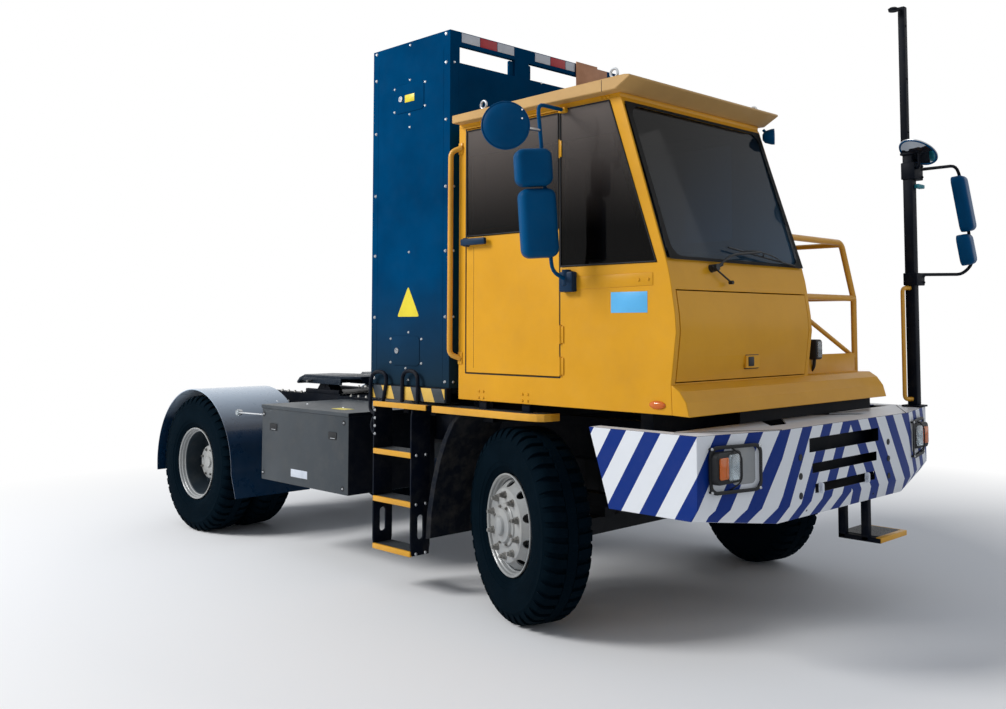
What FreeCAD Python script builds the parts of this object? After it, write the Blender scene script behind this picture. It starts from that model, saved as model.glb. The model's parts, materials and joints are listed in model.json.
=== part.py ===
import FreeCAD
import Part

import math
import os
import re

import Sketcher

# A battery terminal tractor: +X forward, +Y to its left, +Z up, millimetres.
# Heights are measured from the ground, places along the tractor from the front axle ("fore" is ahead of it,
# "aft" behind it), and places across it from the centreline.

DRIVING = {
    "where the tractor stands in its frame": {
        "axle_x": 1450,  # the front axle, from the origin under the middle of the tractor
    },
    "wheels and axles": {
        "wheelbase": 3690,
        "wheel_radius": 539,
        "tyre_width": 300,
        "tyre_wall": 24,
        "bead_radius": 282,
        "rim_lip_radius": 296,
        "rim_width": 229,
        "rim_wall": 12,
        "wheel_y": 1107,  # middle of an outer tyre
        "dual_pitch": 340,
        "disc_radius": 232,
        "hub_radius": 140,
        "drum_radius": 205,
        "drum_length": 170,
        "kingpin_y": 960,
        "kingpin_radius": 25,
        "boss_half": 45,
        "spindle_radius": 42,
        "running_gap": 0.05,
        "moving_gap": 8,
        "steer_rest": -18.9,
        "steer_arm": 200,
        "tie_rod_radius": 19,
        "arm_thick": 30,
        "ear_radius": 46,
        "ear_height": 44,
        "pin_half": 90,
        "ball_radius": 12,
        "front_disc": 105,
        "rear_disc": -156,
        "disc_wall": 14,
        "front_cap": 42,
        "rear_cap": 112,
        "hand_hole": 26,
        "axle_beam": 95,
        "axle_drop": 70,
        "rear_tube_radius": 72,
        "diff_radius": 205,
        "diff_width": 300,
        "diff_nose_rise": 40,
        "shaft_start_z": 800,
        "shaft_bend": 60,
        "rear_tube_half": 752,
        "spindle_end": 928,
    },
    "springs": {
        "spring_width": 90,
        "spring_y": 520,
        "spring_depth": 70,
        "spring_seat": 60,
        "front_spring_reach": 700,
        "rear_spring_reach": 540,
        "hanger_width": 50,
    },
    "chassis": {
        "frame_width": 860,
        "rail_top": 1080,
        "rail_height": 250,
        "rail_flange": 80,
        "rail_wall": 8,
        "tail_overhang": 595,  # behind the rear axle
        "frame_fore": 1150,
        "member_length": 90,
        "member_height": 160,
        "motor_length": 620,
        "motor_width": 360,
        "motor_height": 420,
        "motor_aft": 1500,
        "motor_bottom": 640,
        "shaft_radius": 45,
    },
    "bumper": {
        "bumper_top": 1130,
        "bumper_fold": 747,  # where the lower lip folds back
        "bumper_bottom": 668,
        "bumper_fore": 1348,
        "bumper_corner_fore": 1220,
        "bumper_flat_y": 713,
        "bumper_half": 1252,
        "bumper_aft_top": 546,
        "bumper_aft_bottom": 680,
        "bumper_wall": 8,
        "lip_slope": 50,
        "bumper_deck": 330,
        "slot_y": -60,
        "bumper_side_bottom": 731,
        "tow_eye_radius": 12,
        "tow_eye_z": 809,
        "tow_middle_y": -104,
        "tow_half_y": 255,
    },
    "lamps and front step": {
        "lamp_y": 1030,
        "lamp_width": 236,
        "lamp_height": 124,
        "lamp_z": 973,
        "lamp_depth": 36,
        "guard_width": 400,
        "guard_height": 205,
        "guard_proud": 55,
        "guard_rod": 7,
        "step_z": 440,
        "step_x": 1120,
        "step_y": 350,
        "step_tube": 22,
    },
    "mudguards": {
        "fender_radius": 622,
        "fender_z": 512,
        "fender_wall": 6,
        "fender_outer": 1256,
        "fender_inner": 600,
        "fender_low": 430,
        "flap_ahead": 693,  # ahead of the rear axle
        "flap_low": 338,
        "fender_stay_z": 940,
        "guard_inner": 900,
        "frame_guard_z": 900,
    },
    "battery tower": {
        "tower_aft": 1386,
        "tower_fore": -610,
        "tower_half": 1200,
        "tower_bottom": 1272,
        "tower_top": 3458,
        "well_depth": 200,
        "tower_wall": 4,
        "beam_height": 88,
        "post_width": 127,
        "tower_post_y": 645,
        "corner_post": 78,
        "base_beam": 70,
    },
    "side boxes": {
        "box_aft": 2725,
        "box_fore": -1630,
        "box_outer": 1200,
        "box_inner": 450,
        "box_top": 1062,
        "box_bottom": 515,
        "box_lid": 26,
        "box_lip": 6,
    },
    "ladder and steps": {
        "ladder_aft": 1292,
        "ladder_fore": -900,
        "ladder_outer": 1250,
        "ladder_depth": 150,
        "ladder_bottom": 244,
        "tread_top": 1162,
        "tread_pitch": 299,
        "tread_depth": 30,
        "stringer": 6,
        "board_aft": 706,
        "board_fore": 338,
        "board_depth": 150,
        "handle_radius": 9,
    },
    "cab": {
        "cab_right": -1200,
        "cab_left": 104,
        "cab_aft": 523,
        "cab_bottom": 1213,
        "cab_wall": 40,
        "eaves": 2830,
        "nose_top_x": 1012,
        "nose_top_z": 1970,
        "screen_top_x": 738,
        "screen_top_z": 2809,
        "screen_low_z": 1982,
        "glass": 6,
        "firewall_x": 840,
        "cowl_z": 1905,
        "hood_top": 1826,
        "hood_bottom": 1366,
        "hood_wall": 22,
        "hood_edge": 34,
        "panel_gap": 6,
        "door_aft": 461,
        "door_fore": 300,
        "door_bottom": 1368,
        "door_top": 2818,
        "door_window_z": 2167,
        "window_frame": 46,
        "quarter_z": 1961,
        "quarter_fore": 956,
        "quarter_top_fore": 656,
        "roof_half_proud": 66,
        "roof_peak_x": 800,
        "roof_peak_z": 2934,
        "visor_x": 845,
        "rail_tube": 16,
        "seat_top": 1680,
        "steering_ring": 215,
    },
    "platform": {
        "platform_left": 872,
        "platform_top": 1362,
        "platform_fore": 948,
        "platform_aft": 523,
        "sheet": 5,
        "railing_tube": 19,
        "railing_bend_y": 770,
    },
    "mirrors": {
        "pole_y": 1165,
        "pole_width": 64,
        "mast_width": 42,
        "pole_split": 2760,
        "pole_top": 3730,
        "arm_radius": 9,
        "right_arm_x": 370,
        "right_arm_y": 1420,
        "mirror_width": 190,
        "mirror_height": 360,
        "wide_height": 200,
        "mirror_depth": 85,
        "round_radius": 130,
    },
    "fifth wheel": {
        "coupling_ahead": 590,  # the kingpin, ahead of the rear axle
        "coupling_top": 1238,
        "coupling_half": 455,
        "coupling_length": 450,
        "horn_reach": 572,  # the horns, behind the kingpin
        "horn_inner": 105,
        "horn_outer": 330,
        "plate": 14,
        "jaw_radius": 25.5,
        "jaw_depth": 60,
        "pivot_z": 1150,
        "pivot_radius": 22,
    },
}

# places that follow from the sizes above
DERIVED = {
    "frame_aft": "(wheelbase + tail_overhang)",
    "flap_aft": "(wheelbase - flap_ahead)",
    "horn_aft": "(coupling_aft + horn_reach)",
    "coupling_aft": "(wheelbase - coupling_ahead)",
    "tower_deck": "(tower_top - well_depth)",
}

doc = FreeCAD.newDocument("terminal_tractor")
sizes = doc.addObject("Spreadsheet::Sheet", "sizes")


def fill_sheet():
    row = 0
    for section, values in DRIVING.items():
        row += 1
        sizes.set(f"A{row}", section)
        for alias, value in values.items():
            row += 1
            sizes.set(f"A{row}", alias)
            sizes.set(f"B{row}", str(value))
            sizes.setAlias(f"B{row}", alias)
    doc.recompute()


WORDS = re.compile(r"[A-Za-z_][A-Za-z_0-9]*")
ALIASES = {alias for values in DRIVING.values() for alias in values}
NODES = {}


def formula(text):
    text = str(text)
    for place, meaning in DERIVED.items():
        text = re.sub(rf"\b{place}\b", meaning, text)
    return WORDS.sub(lambda word: ("sizes." if word.group() in ALIASES else "") + word.group(), text)


def number(text):
    return float(sizes.evalExpression(formula(text)))


def vector(place):
    return FreeCAD.Vector(*(number(part) for part in place))


def bind(thing, **formulas):
    for name, text in formulas.items():
        thing.setExpression(name.replace("_at_", "."), formula(text))
    return thing


def put(thing, place, turn=None):
    if turn:
        thing.Placement = FreeCAD.Placement(FreeCAD.Vector(), turn)
    for axis, text in zip("xyz", place):
        thing.setExpression(f"Placement.Base.{axis}", formula(text))
    return thing


ALONG = {
    "x": FreeCAD.Rotation(FreeCAD.Vector(0, 1, 0), 90),
    "y": FreeCAD.Rotation(FreeCAD.Vector(1, 0, 0), -90),
    "z": FreeCAD.Rotation(),
}


def box(name, low, high):
    block = doc.addObject("Part::Box", name)
    for side, one, two in zip(("Length", "Width", "Height"), low, high):
        block.setExpression(side, formula(f"({two}) - ({one})"))
    return put(block, low)


def rod(name, start, length, radius, axis="z"):
    piece = doc.addObject("Part::Cylinder", name)
    bind(piece, Radius=radius, Height=length)
    return put(piece, start, ALONG[axis])


def outline(name, points, turn):
    """points are pairs of formulas in the sketch's own plane"""
    sketch = doc.addObject("Sketcher::SketchObject", name)
    sketch.Placement = FreeCAD.Placement(FreeCAD.Vector(), turn)
    corners = [(number(across), number(up)) for across, up in points]
    for index, corner in enumerate(corners):
        end = corners[(index + 1) % len(corners)]
        sketch.addGeometry(Part.LineSegment(FreeCAD.Vector(*corner, 0), FreeCAD.Vector(*end, 0)), False)
    for index in range(len(corners)):
        sketch.addConstraint(Sketcher.Constraint("Coincident", index, 2, (index + 1) % len(corners), 1))
    for index, (across, up) in enumerate(points):
        for kind, text, value in (("DistanceX", across, corners[index][0]), ("DistanceY", up,
                                                                             corners[index][1])):
            which = sketch.addConstraint(Sketcher.Constraint(kind, index, 1, value))
            sketch.setExpression(f"Constraints[{which}]", formula(text))
    return sketch


PLANES = {
    "xz": (FreeCAD.Rotation(FreeCAD.Vector(1, 0, 0), 90), FreeCAD.Vector(0, 1, 0), "y"),
    "yz": (FreeCAD.Rotation(0.5, 0.5, 0.5, 0.5), FreeCAD.Vector(1, 0, 0), "x"),
    "xy": (FreeCAD.Rotation(), FreeCAD.Vector(0, 0, 1), "z"),
}


def prism(name, plane, points, start, end):
    turn, along, axis = PLANES[plane]
    sketch = outline(name + "_outline", points, turn)
    sketch.setExpression(f"Placement.Base.{axis}", formula(start))
    solid = doc.addObject("Part::Extrusion", name)
    solid.Base, solid.DirMode, solid.Dir, solid.Solid = sketch, "Custom", along, True
    return bind(solid, LengthFwd=f"({end}) - ({start})")


def turned(name, points, place, axis):
    """points are pairs (along the axis, radius); the solid is turned about that axis"""
    sketch = outline(name + "_outline", points, FreeCAD.Rotation())
    solid = doc.addObject("Part::Revolution", name)
    solid.Source, solid.Axis, solid.Base = sketch, FreeCAD.Vector(1, 0, 0), FreeCAD.Vector()
    solid.Angle, solid.Solid = 360, True
    about = {
        "x": FreeCAD.Rotation(),
        "y": FreeCAD.Rotation(FreeCAD.Vector(0, 0, 1), 90),
        "-y": FreeCAD.Rotation(FreeCAD.Vector(0, 0, 1), -90),
        "z": FreeCAD.Rotation(FreeCAD.Vector(0, 1, 0), -90),
    }
    return put(solid, place, about[axis])


def join(name, *pieces):
    if len(pieces) == 1:
        return pieces[0]
    solid = doc.addObject("Part::MultiFuse", name)
    solid.Shapes, solid.Refine = list(pieces), True
    return solid


def cut(name, base, *tools):
    solid = doc.addObject("Part::Cut", name)
    solid.Base, solid.Tool, solid.Refine = base, join(name + "_tools", *tools), True
    return solid


def several(name, *pieces):
    group = doc.addObject("Part::Compound", name)
    group.Links = list(pieces)
    return group


def mirrored(name, piece):
    copy = doc.addObject("Part::Mirroring", name)
    copy.Source, copy.Base, copy.Normal = piece, FreeCAD.Vector(), FreeCAD.Vector(0, 1, 0)
    return copy


def pair(name, piece):
    return several(name, piece, mirrored(name + "_left", piece))


def tube(name, radius, route, bend):
    """a round bar along straight runs joined by tangent arcs"""
    points = [vector(place) for place in route]
    edges, start = [], points[0]
    for index in range(1, len(points) - 1):
        corner = points[index]
        back = (points[index - 1] - corner).normalize()
        ahead = (points[index + 1] - corner).normalize()
        half = back.getAngle(ahead) / 2
        reach = number(bend) / math.tan(half)
        into, out = corner + back * reach, corner + ahead * reach
        middle = (back + ahead).normalize()
        near = corner + middle * (number(bend) / math.sin(half) - number(bend))
        if (into - start).Length > 1e-6:
            edges.append(Part.LineSegment(start, into).toShape())
        edges.append(Part.Arc(into, near, out).toShape())
        start = out
    edges.append(Part.LineSegment(start, points[-1]).toShape())
    ring = Part.Circle(points[0], points[1] - points[0], number(radius)).toShape()
    bar = doc.addObject("Part::Feature", name)
    bar.Shape = Part.Wire(edges).makePipeShell([Part.Wire([ring])], True, False)
    return bar


def node(name, piece):
    piece.Label = name
    NODES[name] = piece
    return piece


# ------------------------------------------------------------------ chassis


def rail(name, aft, fore):
    web = "frame_width / 2"
    return prism(name, "yz", [
        (f"-{web}", "rail_top"), (f"-{web}", "rail_top - rail_height"),
        (f"-{web} + rail_flange", "rail_top - rail_height"),
        (f"-{web} + rail_flange", "rail_top - rail_height + rail_wall"),
        (f"-{web} + rail_wall", "rail_top - rail_height + rail_wall"),
        (f"-{web} + rail_wall", "rail_top - rail_wall"),
        (f"-{web} + rail_flange", "rail_top - rail_wall"), (f"-{web} + rail_flange", "rail_top"),
    ], aft, fore)


def chassis_frame():
    right = rail("right_rail", "axle_x - frame_aft", "axle_x + frame_fore")
    pieces = [right, mirrored("left_rail", right)]
    for index, aft in enumerate((
            "4195", "2620", "(motor_aft + motor_length / 2 + member_length / 2)",
            "(motor_aft - motor_length / 2 - member_length / 2)", "400", "-400", "-1060")):
        pieces.append(box(
            f"cross_member_{index}",
            (f"axle_x - {aft} - member_length / 2", "-frame_width / 2 + rail_wall / 2",
             "rail_top - rail_height + 30"),
            (f"axle_x - {aft} + member_length / 2", "frame_width / 2 - rail_wall / 2",
             "rail_top - rail_height + 30 + member_height")))
    for index, fore in enumerate((-420, 760)):
        pieces.append(box(
            f"cab_bearer_{index}",
            (f"axle_x + {fore}", "cab_right + 110", "rail_top"),
            (f"axle_x + {fore} + 80", "platform_left - 60", "cab_bottom")))
    node("chassis_frame", join("chassis_frame", *pieces))


def drive_line():
    aft_face = "axle_x - motor_aft - motor_length / 2"
    node("drive_motor", box(
        "drive_motor", (aft_face, "-motor_width / 2", "motor_bottom"),
        ("axle_x - motor_aft + motor_length / 2", "motor_width / 2", "motor_bottom + motor_height")))
    nose = "axle_x - wheelbase + diff_width / 2 + 60"
    node("prop_shaft", tube("prop_shaft", "shaft_radius", [
        (aft_face, "0", "shaft_start_z"), (f"{aft_face} - 120", "0", "shaft_start_z"),
        (f"{nose} + 120", "0", "wheel_radius + diff_nose_rise"), (nose, "0", "wheel_radius + diff_nose_rise"),
    ], "shaft_bend"))


def front_axle():
    low = "wheel_radius - axle_drop - axle_beam / 2"
    high = "wheel_radius - axle_drop + axle_beam / 2"
    beam = box("axle_beam", ("axle_x - axle_beam / 2", "-kingpin_y + 190", low),
               ("axle_x + axle_beam / 2", "kingpin_y - 190", high))
    end = prism("axle_end", "yz", [
        ("-kingpin_y + 192", low), ("-kingpin_y + 192", high), ("-kingpin_y + 30",
                                                                "wheel_radius + boss_half"),
        ("-kingpin_y", "wheel_radius + boss_half"), ("-kingpin_y", "wheel_radius - boss_half"),
        ("-kingpin_y + 60", "wheel_radius - boss_half")], "axle_x - 34", "axle_x + 34")
    boss = rod("kingpin_boss", ("axle_x", "-kingpin_y", "wheel_radius - boss_half"), "boss_half * 2",
               "ear_radius")
    pin = rod("kingpin", ("axle_x", "-kingpin_y", "wheel_radius - pin_half - 2"), "pin_half * 2 + 4",
              "kingpin_radius")
    one_end = join("axle_right_end", end, boss, pin)
    seat = box("spring_seat", ("axle_x - 70", "-spring_y - spring_width / 2", high),
               ("axle_x + 70", "-spring_y + spring_width / 2", f"{high} + spring_seat"))
    node("front_axle", join("front_axle", beam, one_end, mirrored("axle_left_end", one_end), seat,
                            mirrored("left_spring_seat", seat)))


def leaf_spring(name, centre, reach, low):
    high = f"{low} + spring_depth"
    leaves = prism(name + "_leaves", "xz", [
        (f"{centre} - {reach} * 0.35", low), (f"{centre} + {reach} * 0.35", low),
        (f"{centre} + {reach}", f"{high} + 40"), (f"{centre} + {reach}", f"{high} + 60"),
        (f"{centre} + {reach} * 0.4", high), (f"{centre} - {reach} * 0.4", high),
        (f"{centre} - {reach}", f"{high} + 60"), (f"{centre} - {reach}", f"{high} + 40"),
    ], "-spring_y - spring_width / 2", "-spring_y + spring_width / 2")
    hangers = [box(
        f"{name}_hanger_{index}",
        (f"{centre} {side} {reach} - hanger_width", "-spring_y - spring_width / 2", f"{high} + 30"),
        (f"{centre} {side} {reach} + hanger_width", "-frame_width / 2", "rail_top - rail_height + 110"))
        for index, side in enumerate("-+")]
    return join(name, leaves, *hangers)


def springs():
    front = leaf_spring("front_spring", "axle_x", "front_spring_reach",
                        "wheel_radius - axle_drop + axle_beam / 2 + spring_seat")
    rear = leaf_spring("rear_spring", "axle_x - wheelbase", "rear_spring_reach",
                       "wheel_radius + rear_tube_radius")
    node("leaf_springs", several("leaf_springs", front, mirrored("front_left_spring", front), rear,
                                 mirrored("rear_left_spring", rear)))


def rear_axle():
    centre = "axle_x - wheelbase"
    tubes = rod("rear_tube", (centre, "-rear_tube_half", "wheel_radius"), "rear_tube_half * 2",
                "rear_tube_radius", "y")
    diff = turned("differential", [
        ("-diff_width / 2", "0"), ("-diff_width / 2", "diff_radius * 0.6"), ("-diff_width / 6",
                                                                             "diff_radius"),
        ("diff_width / 6", "diff_radius"), ("diff_width / 2", "diff_radius * 0.6"), ("diff_width / 2", "0"),
    ], (centre, "0", "wheel_radius"), "y")
    nose = rod("diff_nose", (centre, "0", "wheel_radius + diff_nose_rise"), "diff_width / 2 + 60", "85", "x")
    spindle = rod("rear_spindle", (centre, "-spindle_end", "wheel_radius"), "spindle_end * 2",
                  "spindle_radius", "y")
    node("rear_axle", join("rear_axle", tubes, diff, nose, spindle))


# ------------------------------------------------------------------ wheels, built straight ahead on the right


def tyre(name, x, y):
    half, wall, seat = "tyre_width / 2", "tyre_wall", "(rim_width / 2 - rim_wall - 1)"
    outer = [(f"-{seat}", "bead_radius"), (f"-{seat}", "rim_lip_radius + 4"), (f"-{half} * 0.94",
                                                                               "bead_radius + 60"),
             (f"-{half}", "wheel_radius - 130"), (f"-{half} * 0.93", "wheel_radius - 34"),
             (f"-{half} * 0.8", "wheel_radius - 6"), (f"-{half} * 0.5", "wheel_radius")]
    inner = [(f"-{half} * 0.5", f"wheel_radius - {wall}"), (f"-{half} * 0.75", f"wheel_radius - {wall} - 10"),
             (f"-{half} + {wall}", "wheel_radius - 130"), (f"-{half} * 0.94 + {wall}", "bead_radius + 60"),
             (f"-{seat} + {wall}", "bead_radius")]
    far = [(across[1:], up) for across, up in outer]
    far_inner = [(across[1:].replace(" + tyre_wall", " - tyre_wall"), up) for across, up in inner]
    return turned(name, outer + far[::-1] + far_inner[::-1] + inner, (x, y, "wheel_radius"), "-y")


def rim(name, x, y, disc, side=""):
    """disc is how far the disc's outer face stands outboard of the rim's middle"""
    half, lip, well = "rim_width / 2", "rim_lip_radius", "bead_radius - rim_wall"
    barrel = turned(name + "_barrel", [
        (f"-{half}", "bead_radius - 0.3"), (f"-{half}", lip), (f"-{half} + rim_wall * 0.9", lip),
        (f"-{half} + rim_wall * 0.9", "bead_radius - 0.3"), (f"{half} - rim_wall * 0.9", "bead_radius - 0.3"),
        (f"{half} - rim_wall * 0.9", lip), (f"{half}", lip), (f"{half}", "bead_radius - 0.3"),
        (f"{half} - rim_wall", well), (f"-{half} + rim_wall", well)], (x, y, "wheel_radius"), "-y")
    face = turned(name + "_disc", [
        (f"{side}({disc})", "hub_radius + 0.3"), (f"{side}({disc})", "disc_radius - 20"),
        (f"{side}({disc} * 0.35)", f"{well} + 2"), (f"{side}({disc} * 0.35 - disc_wall)", f"{well} + 2"),
        (f"{side}({disc} - disc_wall)", "disc_radius - 26"),
        (f"{side}({disc} - disc_wall)", "hub_radius + 0.3")], (x, y, "wheel_radius"), "-y")
    return join(name + "_blank", barrel, face)


def hand_holes(name, x, y, start, end):
    """ten round holes through a disc, between two places along the axle"""
    circle = "(disc_radius - 6)"
    return [rod(f"{name}_{index}",
                (f"{x} + {circle} * cos({index} * 36 deg)", f"{y} + ({start})",
                 f"wheel_radius + {circle} * sin({index} * 36 deg)"),
                f"({end}) - ({start})", "hand_hole", "y") for index in range(10)]


def hub(name, x, y, seat, cap):
    """seat is where the wheel's disc bears, outboard of the tyre's middle"""
    bore = "spindle_radius + running_gap"
    flange = f"{seat} - 18"
    return turned(name, [
        (f"{flange} - 140", bore), (f"{flange} - 140", "95"), (flange, "95"), (flange, "drum_radius - 14"),
        (f"{flange} - drum_length", "drum_radius - 14"), (f"{flange} - drum_length", "drum_radius"),
        (seat, "drum_radius"), (seat, "hub_radius"), (f"{seat} + 34", "hub_radius"),
        (f"{seat} + 34", "hub_radius * 0.66"), (f"{seat} + {cap} - 8", "hub_radius * 0.58"),
        (f"{seat} + {cap}", "hub_radius * 0.5"), (f"{seat} + {cap}", "0"), (f"{seat} + 10", "0"),
        (f"{seat} + 10", bore)], (x, y, "wheel_radius"), "-y")


def knuckle(name):
    """the right knuckle, its kingpin bore at the origin of its sketches"""
    pin_y, mid = "-kingpin_y", "wheel_radius"
    ears = []
    for index, low in enumerate((f"{mid} - pin_half", f"{mid} + pin_half - ear_height + 2")):
        height = "ear_height - 2"
        ears.append(rod(f"{name}_ear_{index}", ("axle_x", pin_y, low), height, "ear_radius"))
        ears.append(box(f"{name}_lug_{index}", ("axle_x - ear_radius", f"{pin_y} - ear_radius - 24", low),
                        ("axle_x + ear_radius", pin_y, f"{low} + {height}")))
    block = box(f"{name}_block", ("axle_x - ear_radius", f"{pin_y} - ear_radius - 24", f"{mid} - pin_half"),
                ("axle_x + ear_radius", f"{pin_y} - ear_radius - moving_gap", f"{mid} + pin_half"))
    plate = rod(f"{name}_backing", ("axle_x", f"{pin_y} - ear_radius - 24", mid), "16",
                "drum_radius - 14 - moving_gap", "y")
    spindle = rod(f"{name}_spindle", ("axle_x", "-wheel_y - front_disc + disc_wall - 7", mid),
                  "wheel_y + front_disc - disc_wall + 7 - kingpin_y - ear_radius - moving_gap - 2",
                  "spindle_radius", "y")
    arm = box(f"{name}_arm", ("axle_x - steer_arm", f"{pin_y} - 24", f"{mid} - pin_half - arm_thick + 2"),
              ("axle_x", f"{pin_y} + 24", f"{mid} - pin_half + 2"))
    eye = rod(f"{name}_arm_eye", ("axle_x - steer_arm", pin_y, f"{mid} - pin_half - arm_thick + 2"),
              "arm_thick", "24")
    ball = rod(f"{name}_ball", ("axle_x - steer_arm", pin_y, f"{mid} - pin_half - arm_thick - 44"),
               "50", "ball_radius")
    bore = rod(f"{name}_bore", ("axle_x", pin_y, f"{mid} - pin_half * 2"), "pin_half * 4",
               "kingpin_radius + running_gap")
    body = join(name + "_body", *ears, block, plate, spindle, arm, eye, ball)
    return cut(name, body, bore)


def steer(name, piece, side):
    """turns a straight-ahead piece about its kingpin, side -1 right and 1 left, to where the wheels stand"""
    turned_piece = several(name, piece)
    turned_piece.Placement = FreeCAD.Placement(
        FreeCAD.Vector(), FreeCAD.Rotation(FreeCAD.Vector(0, 0, 1), number("steer_rest")))
    angle = "(steer_rest * 1 deg)"
    bind(turned_piece, **{
        "Placement_at_Rotation_at_Angle": "steer_rest * 1 deg",
        "Placement_at_Base_at_x": f"axle_x * (1 - cos({angle})) + ({side}) * kingpin_y * sin({angle})",
        "Placement_at_Base_at_y": f"({side}) * kingpin_y * (1 - cos({angle})) - axle_x * sin({angle})",
    })
    return turned_piece


def front_wheels():
    x, y = "axle_x", "-wheel_y"
    holes = hand_holes("front_hand_hole", x, y, "-front_disc - 40", "0")
    right = {
        "front_tyre": tyre("front_tyre", x, y),
        "front_rim": cut("front_rim", rim("front_rim", x, y, "front_disc"), *holes),
        "front_hub": hub("front_hub", x, y, "front_disc - disc_wall", "front_cap"),
        "knuckle": knuckle("knuckle"),
    }
    for name, piece in right.items():
        node(f"{name}_right", steer(f"{name}_right", piece, -1))
        node(f"{name}_left", steer(f"{name}_left", mirrored(f"{name}_mirrored", piece), 1))


def tie_rod():
    """built straight ahead between the two steering arms' ball pins, then moved with them to rest"""
    eye_z = "wheel_radius - pin_half - arm_thick - 40"
    eyes = [rod(f"tie_rod_eye_{index}", ("0", f"{side} kingpin_y", eye_z), "36", "28")
            for index, side in enumerate("-+")]
    bar = rod("tie_rod_bar", ("0", "-kingpin_y", f"{eye_z} + 18"), "kingpin_y * 2", "tie_rod_radius - 2", "y")
    bores = [rod(f"tie_rod_bore_{index}", ("0", f"{side} kingpin_y", f"{eye_z} - 10"), "60",
                 "ball_radius + " + gap)
             for index, (side, gap) in enumerate((("-", "running_gap"), ("+", "1")))]
    rod_piece = cut("tie_rod", join("tie_rod_blank", *eyes, bar), *bores)
    angle = "(steer_rest * 1 deg)"
    node("tie_rod", put(rod_piece, (f"axle_x - steer_arm * cos({angle})", f"-steer_arm * sin({angle})", "0")))


def rear_wheels():
    x, y, inner = "axle_x - wheelbase", "-wheel_y", "-wheel_y + dual_pitch"
    right = {}
    right["rear_tyres"] = several("rear_tyres", tyre("outer_tyre", x, y), tyre("inner_tyre", x, inner))
    outer = rim("outer_rim", x, y, "rear_disc")
    second = rim("inner_rim", x, inner, "rear_disc", "-")
    holes = hand_holes("rear_hand_hole", x, y, "40", "dual_pitch - 40")
    right["rear_rims"] = cut("rear_rims", join("rear_rims_blank", outer, second), *holes)
    right["rear_hub"] = hub("rear_hub", x, y, "rear_disc - disc_wall * 2", "rear_cap + disc_wall")
    for name, piece in right.items():
        node(f"{name}_right", several(f"{name}_right", piece) if name != "rear_tyres" else piece)
        node(f"{name}_left", mirrored(f"{name}_left", piece))


# ------------------------------------------------------------------ bumper, lamps, front step


def bumper_plan(shrink, low, high, name):
    """the bumper's plan, brought in on every side by shrink"""
    fore, corner = f"axle_x + bumper_fore - ({shrink})", f"axle_x + bumper_corner_fore - ({shrink}) * 0.8"
    side, aft = f"bumper_half - ({shrink})", "axle_x + bumper_aft_top"
    flat = "bumper_flat_y"
    return prism(name, "xy", [
        (aft, f"-({side})"), (corner, f"-({side})"), (fore, f"-{flat}"), (fore, flat), (corner, side),
        (aft, side),
    ], low, high)


def front_bumper():
    skin = bumper_plan("0", "bumper_bottom", "bumper_top", "bumper_outside")
    hollow = bumper_plan("bumper_wall", "bumper_bottom - 10", "bumper_top - bumper_wall", "bumper_inside")
    deck_hole = box("bumper_deck_hole", ("axle_x + bumper_aft_top - 10", "-bumper_half + 90",
                                         "bumper_top - 20"),
                    ("axle_x + bumper_fore - bumper_deck", "bumper_half - 90", "bumper_top + 10"))
    lip = prism("bumper_lip_cut", "xz", [
        ("axle_x + bumper_fore + 20", "bumper_fold + 2"), ("axle_x + bumper_fore + 20", "bumper_bottom - 10"),
        ("axle_x + bumper_fore - lip_slope", "bumper_bottom - 10")], "-bumper_half - 10", "bumper_half + 10")
    aft = prism("bumper_aft_cut", "xz", [
        ("axle_x + bumper_aft_top - 20", "bumper_top + 5"), ("axle_x + bumper_aft_top", "bumper_top + 5"),
        ("axle_x + bumper_aft_bottom", "bumper_side_bottom"), ("axle_x + bumper_corner_fore - 40",
                                                               "bumper_side_bottom"),
        ("axle_x + bumper_fore - lip_slope - 20", "bumper_bottom - 10"),
        ("axle_x + bumper_aft_top - 20", "bumper_bottom - 10")], "-bumper_half - 10", "bumper_half + 10")
    slots = []
    for index, (low, high, half) in enumerate(((997, 1067, 385), (889, 937, 358), (785, 830, 332))):
        slots.append(box(f"bumper_slot_{index}", ("axle_x + bumper_fore - 30", f"slot_y - {half}", low),
                         ("axle_x + bumper_fore + 30", f"slot_y + {half}", high)))
    stays = []
    for side in "-+":
        stays.append(prism(f"bumper_stay_{len(stays)}", "xy", [
            ("axle_x + frame_fore - 160", f"{side}(frame_width / 2)"),
            ("axle_x + frame_fore - 160", f"{side}(frame_width / 2 + 14)"),
            ("axle_x + bumper_fore - bumper_wall / 2", f"{side}(frame_width / 2 + 14)"),
            ("axle_x + bumper_fore - bumper_wall / 2", f"{side}(frame_width / 2)")], "860", "1060"))
    lugs = [box(f"tow_lug_{index}", ("axle_x + bumper_fore - 70", f"tow_middle_y {side} tow_half_y - 9",
                                     "782"),
                ("axle_x + bumper_fore + 34", f"tow_middle_y {side} tow_half_y + 9", "836"))
            for index, side in enumerate("-+")]
    eyes = rod("tow_eye", ("axle_x + bumper_fore + 16", "tow_middle_y - tow_half_y - 20", "tow_eye_z"),
               "2 * tow_half_y + 40", "tow_eye_radius", "y")
    shell = cut("bumper_shell", skin, hollow, deck_hole, lip, aft, *slots)
    node("front_bumper", cut("front_bumper", join("bumper_fitted", shell, *stays, *lugs), eyes))


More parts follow.
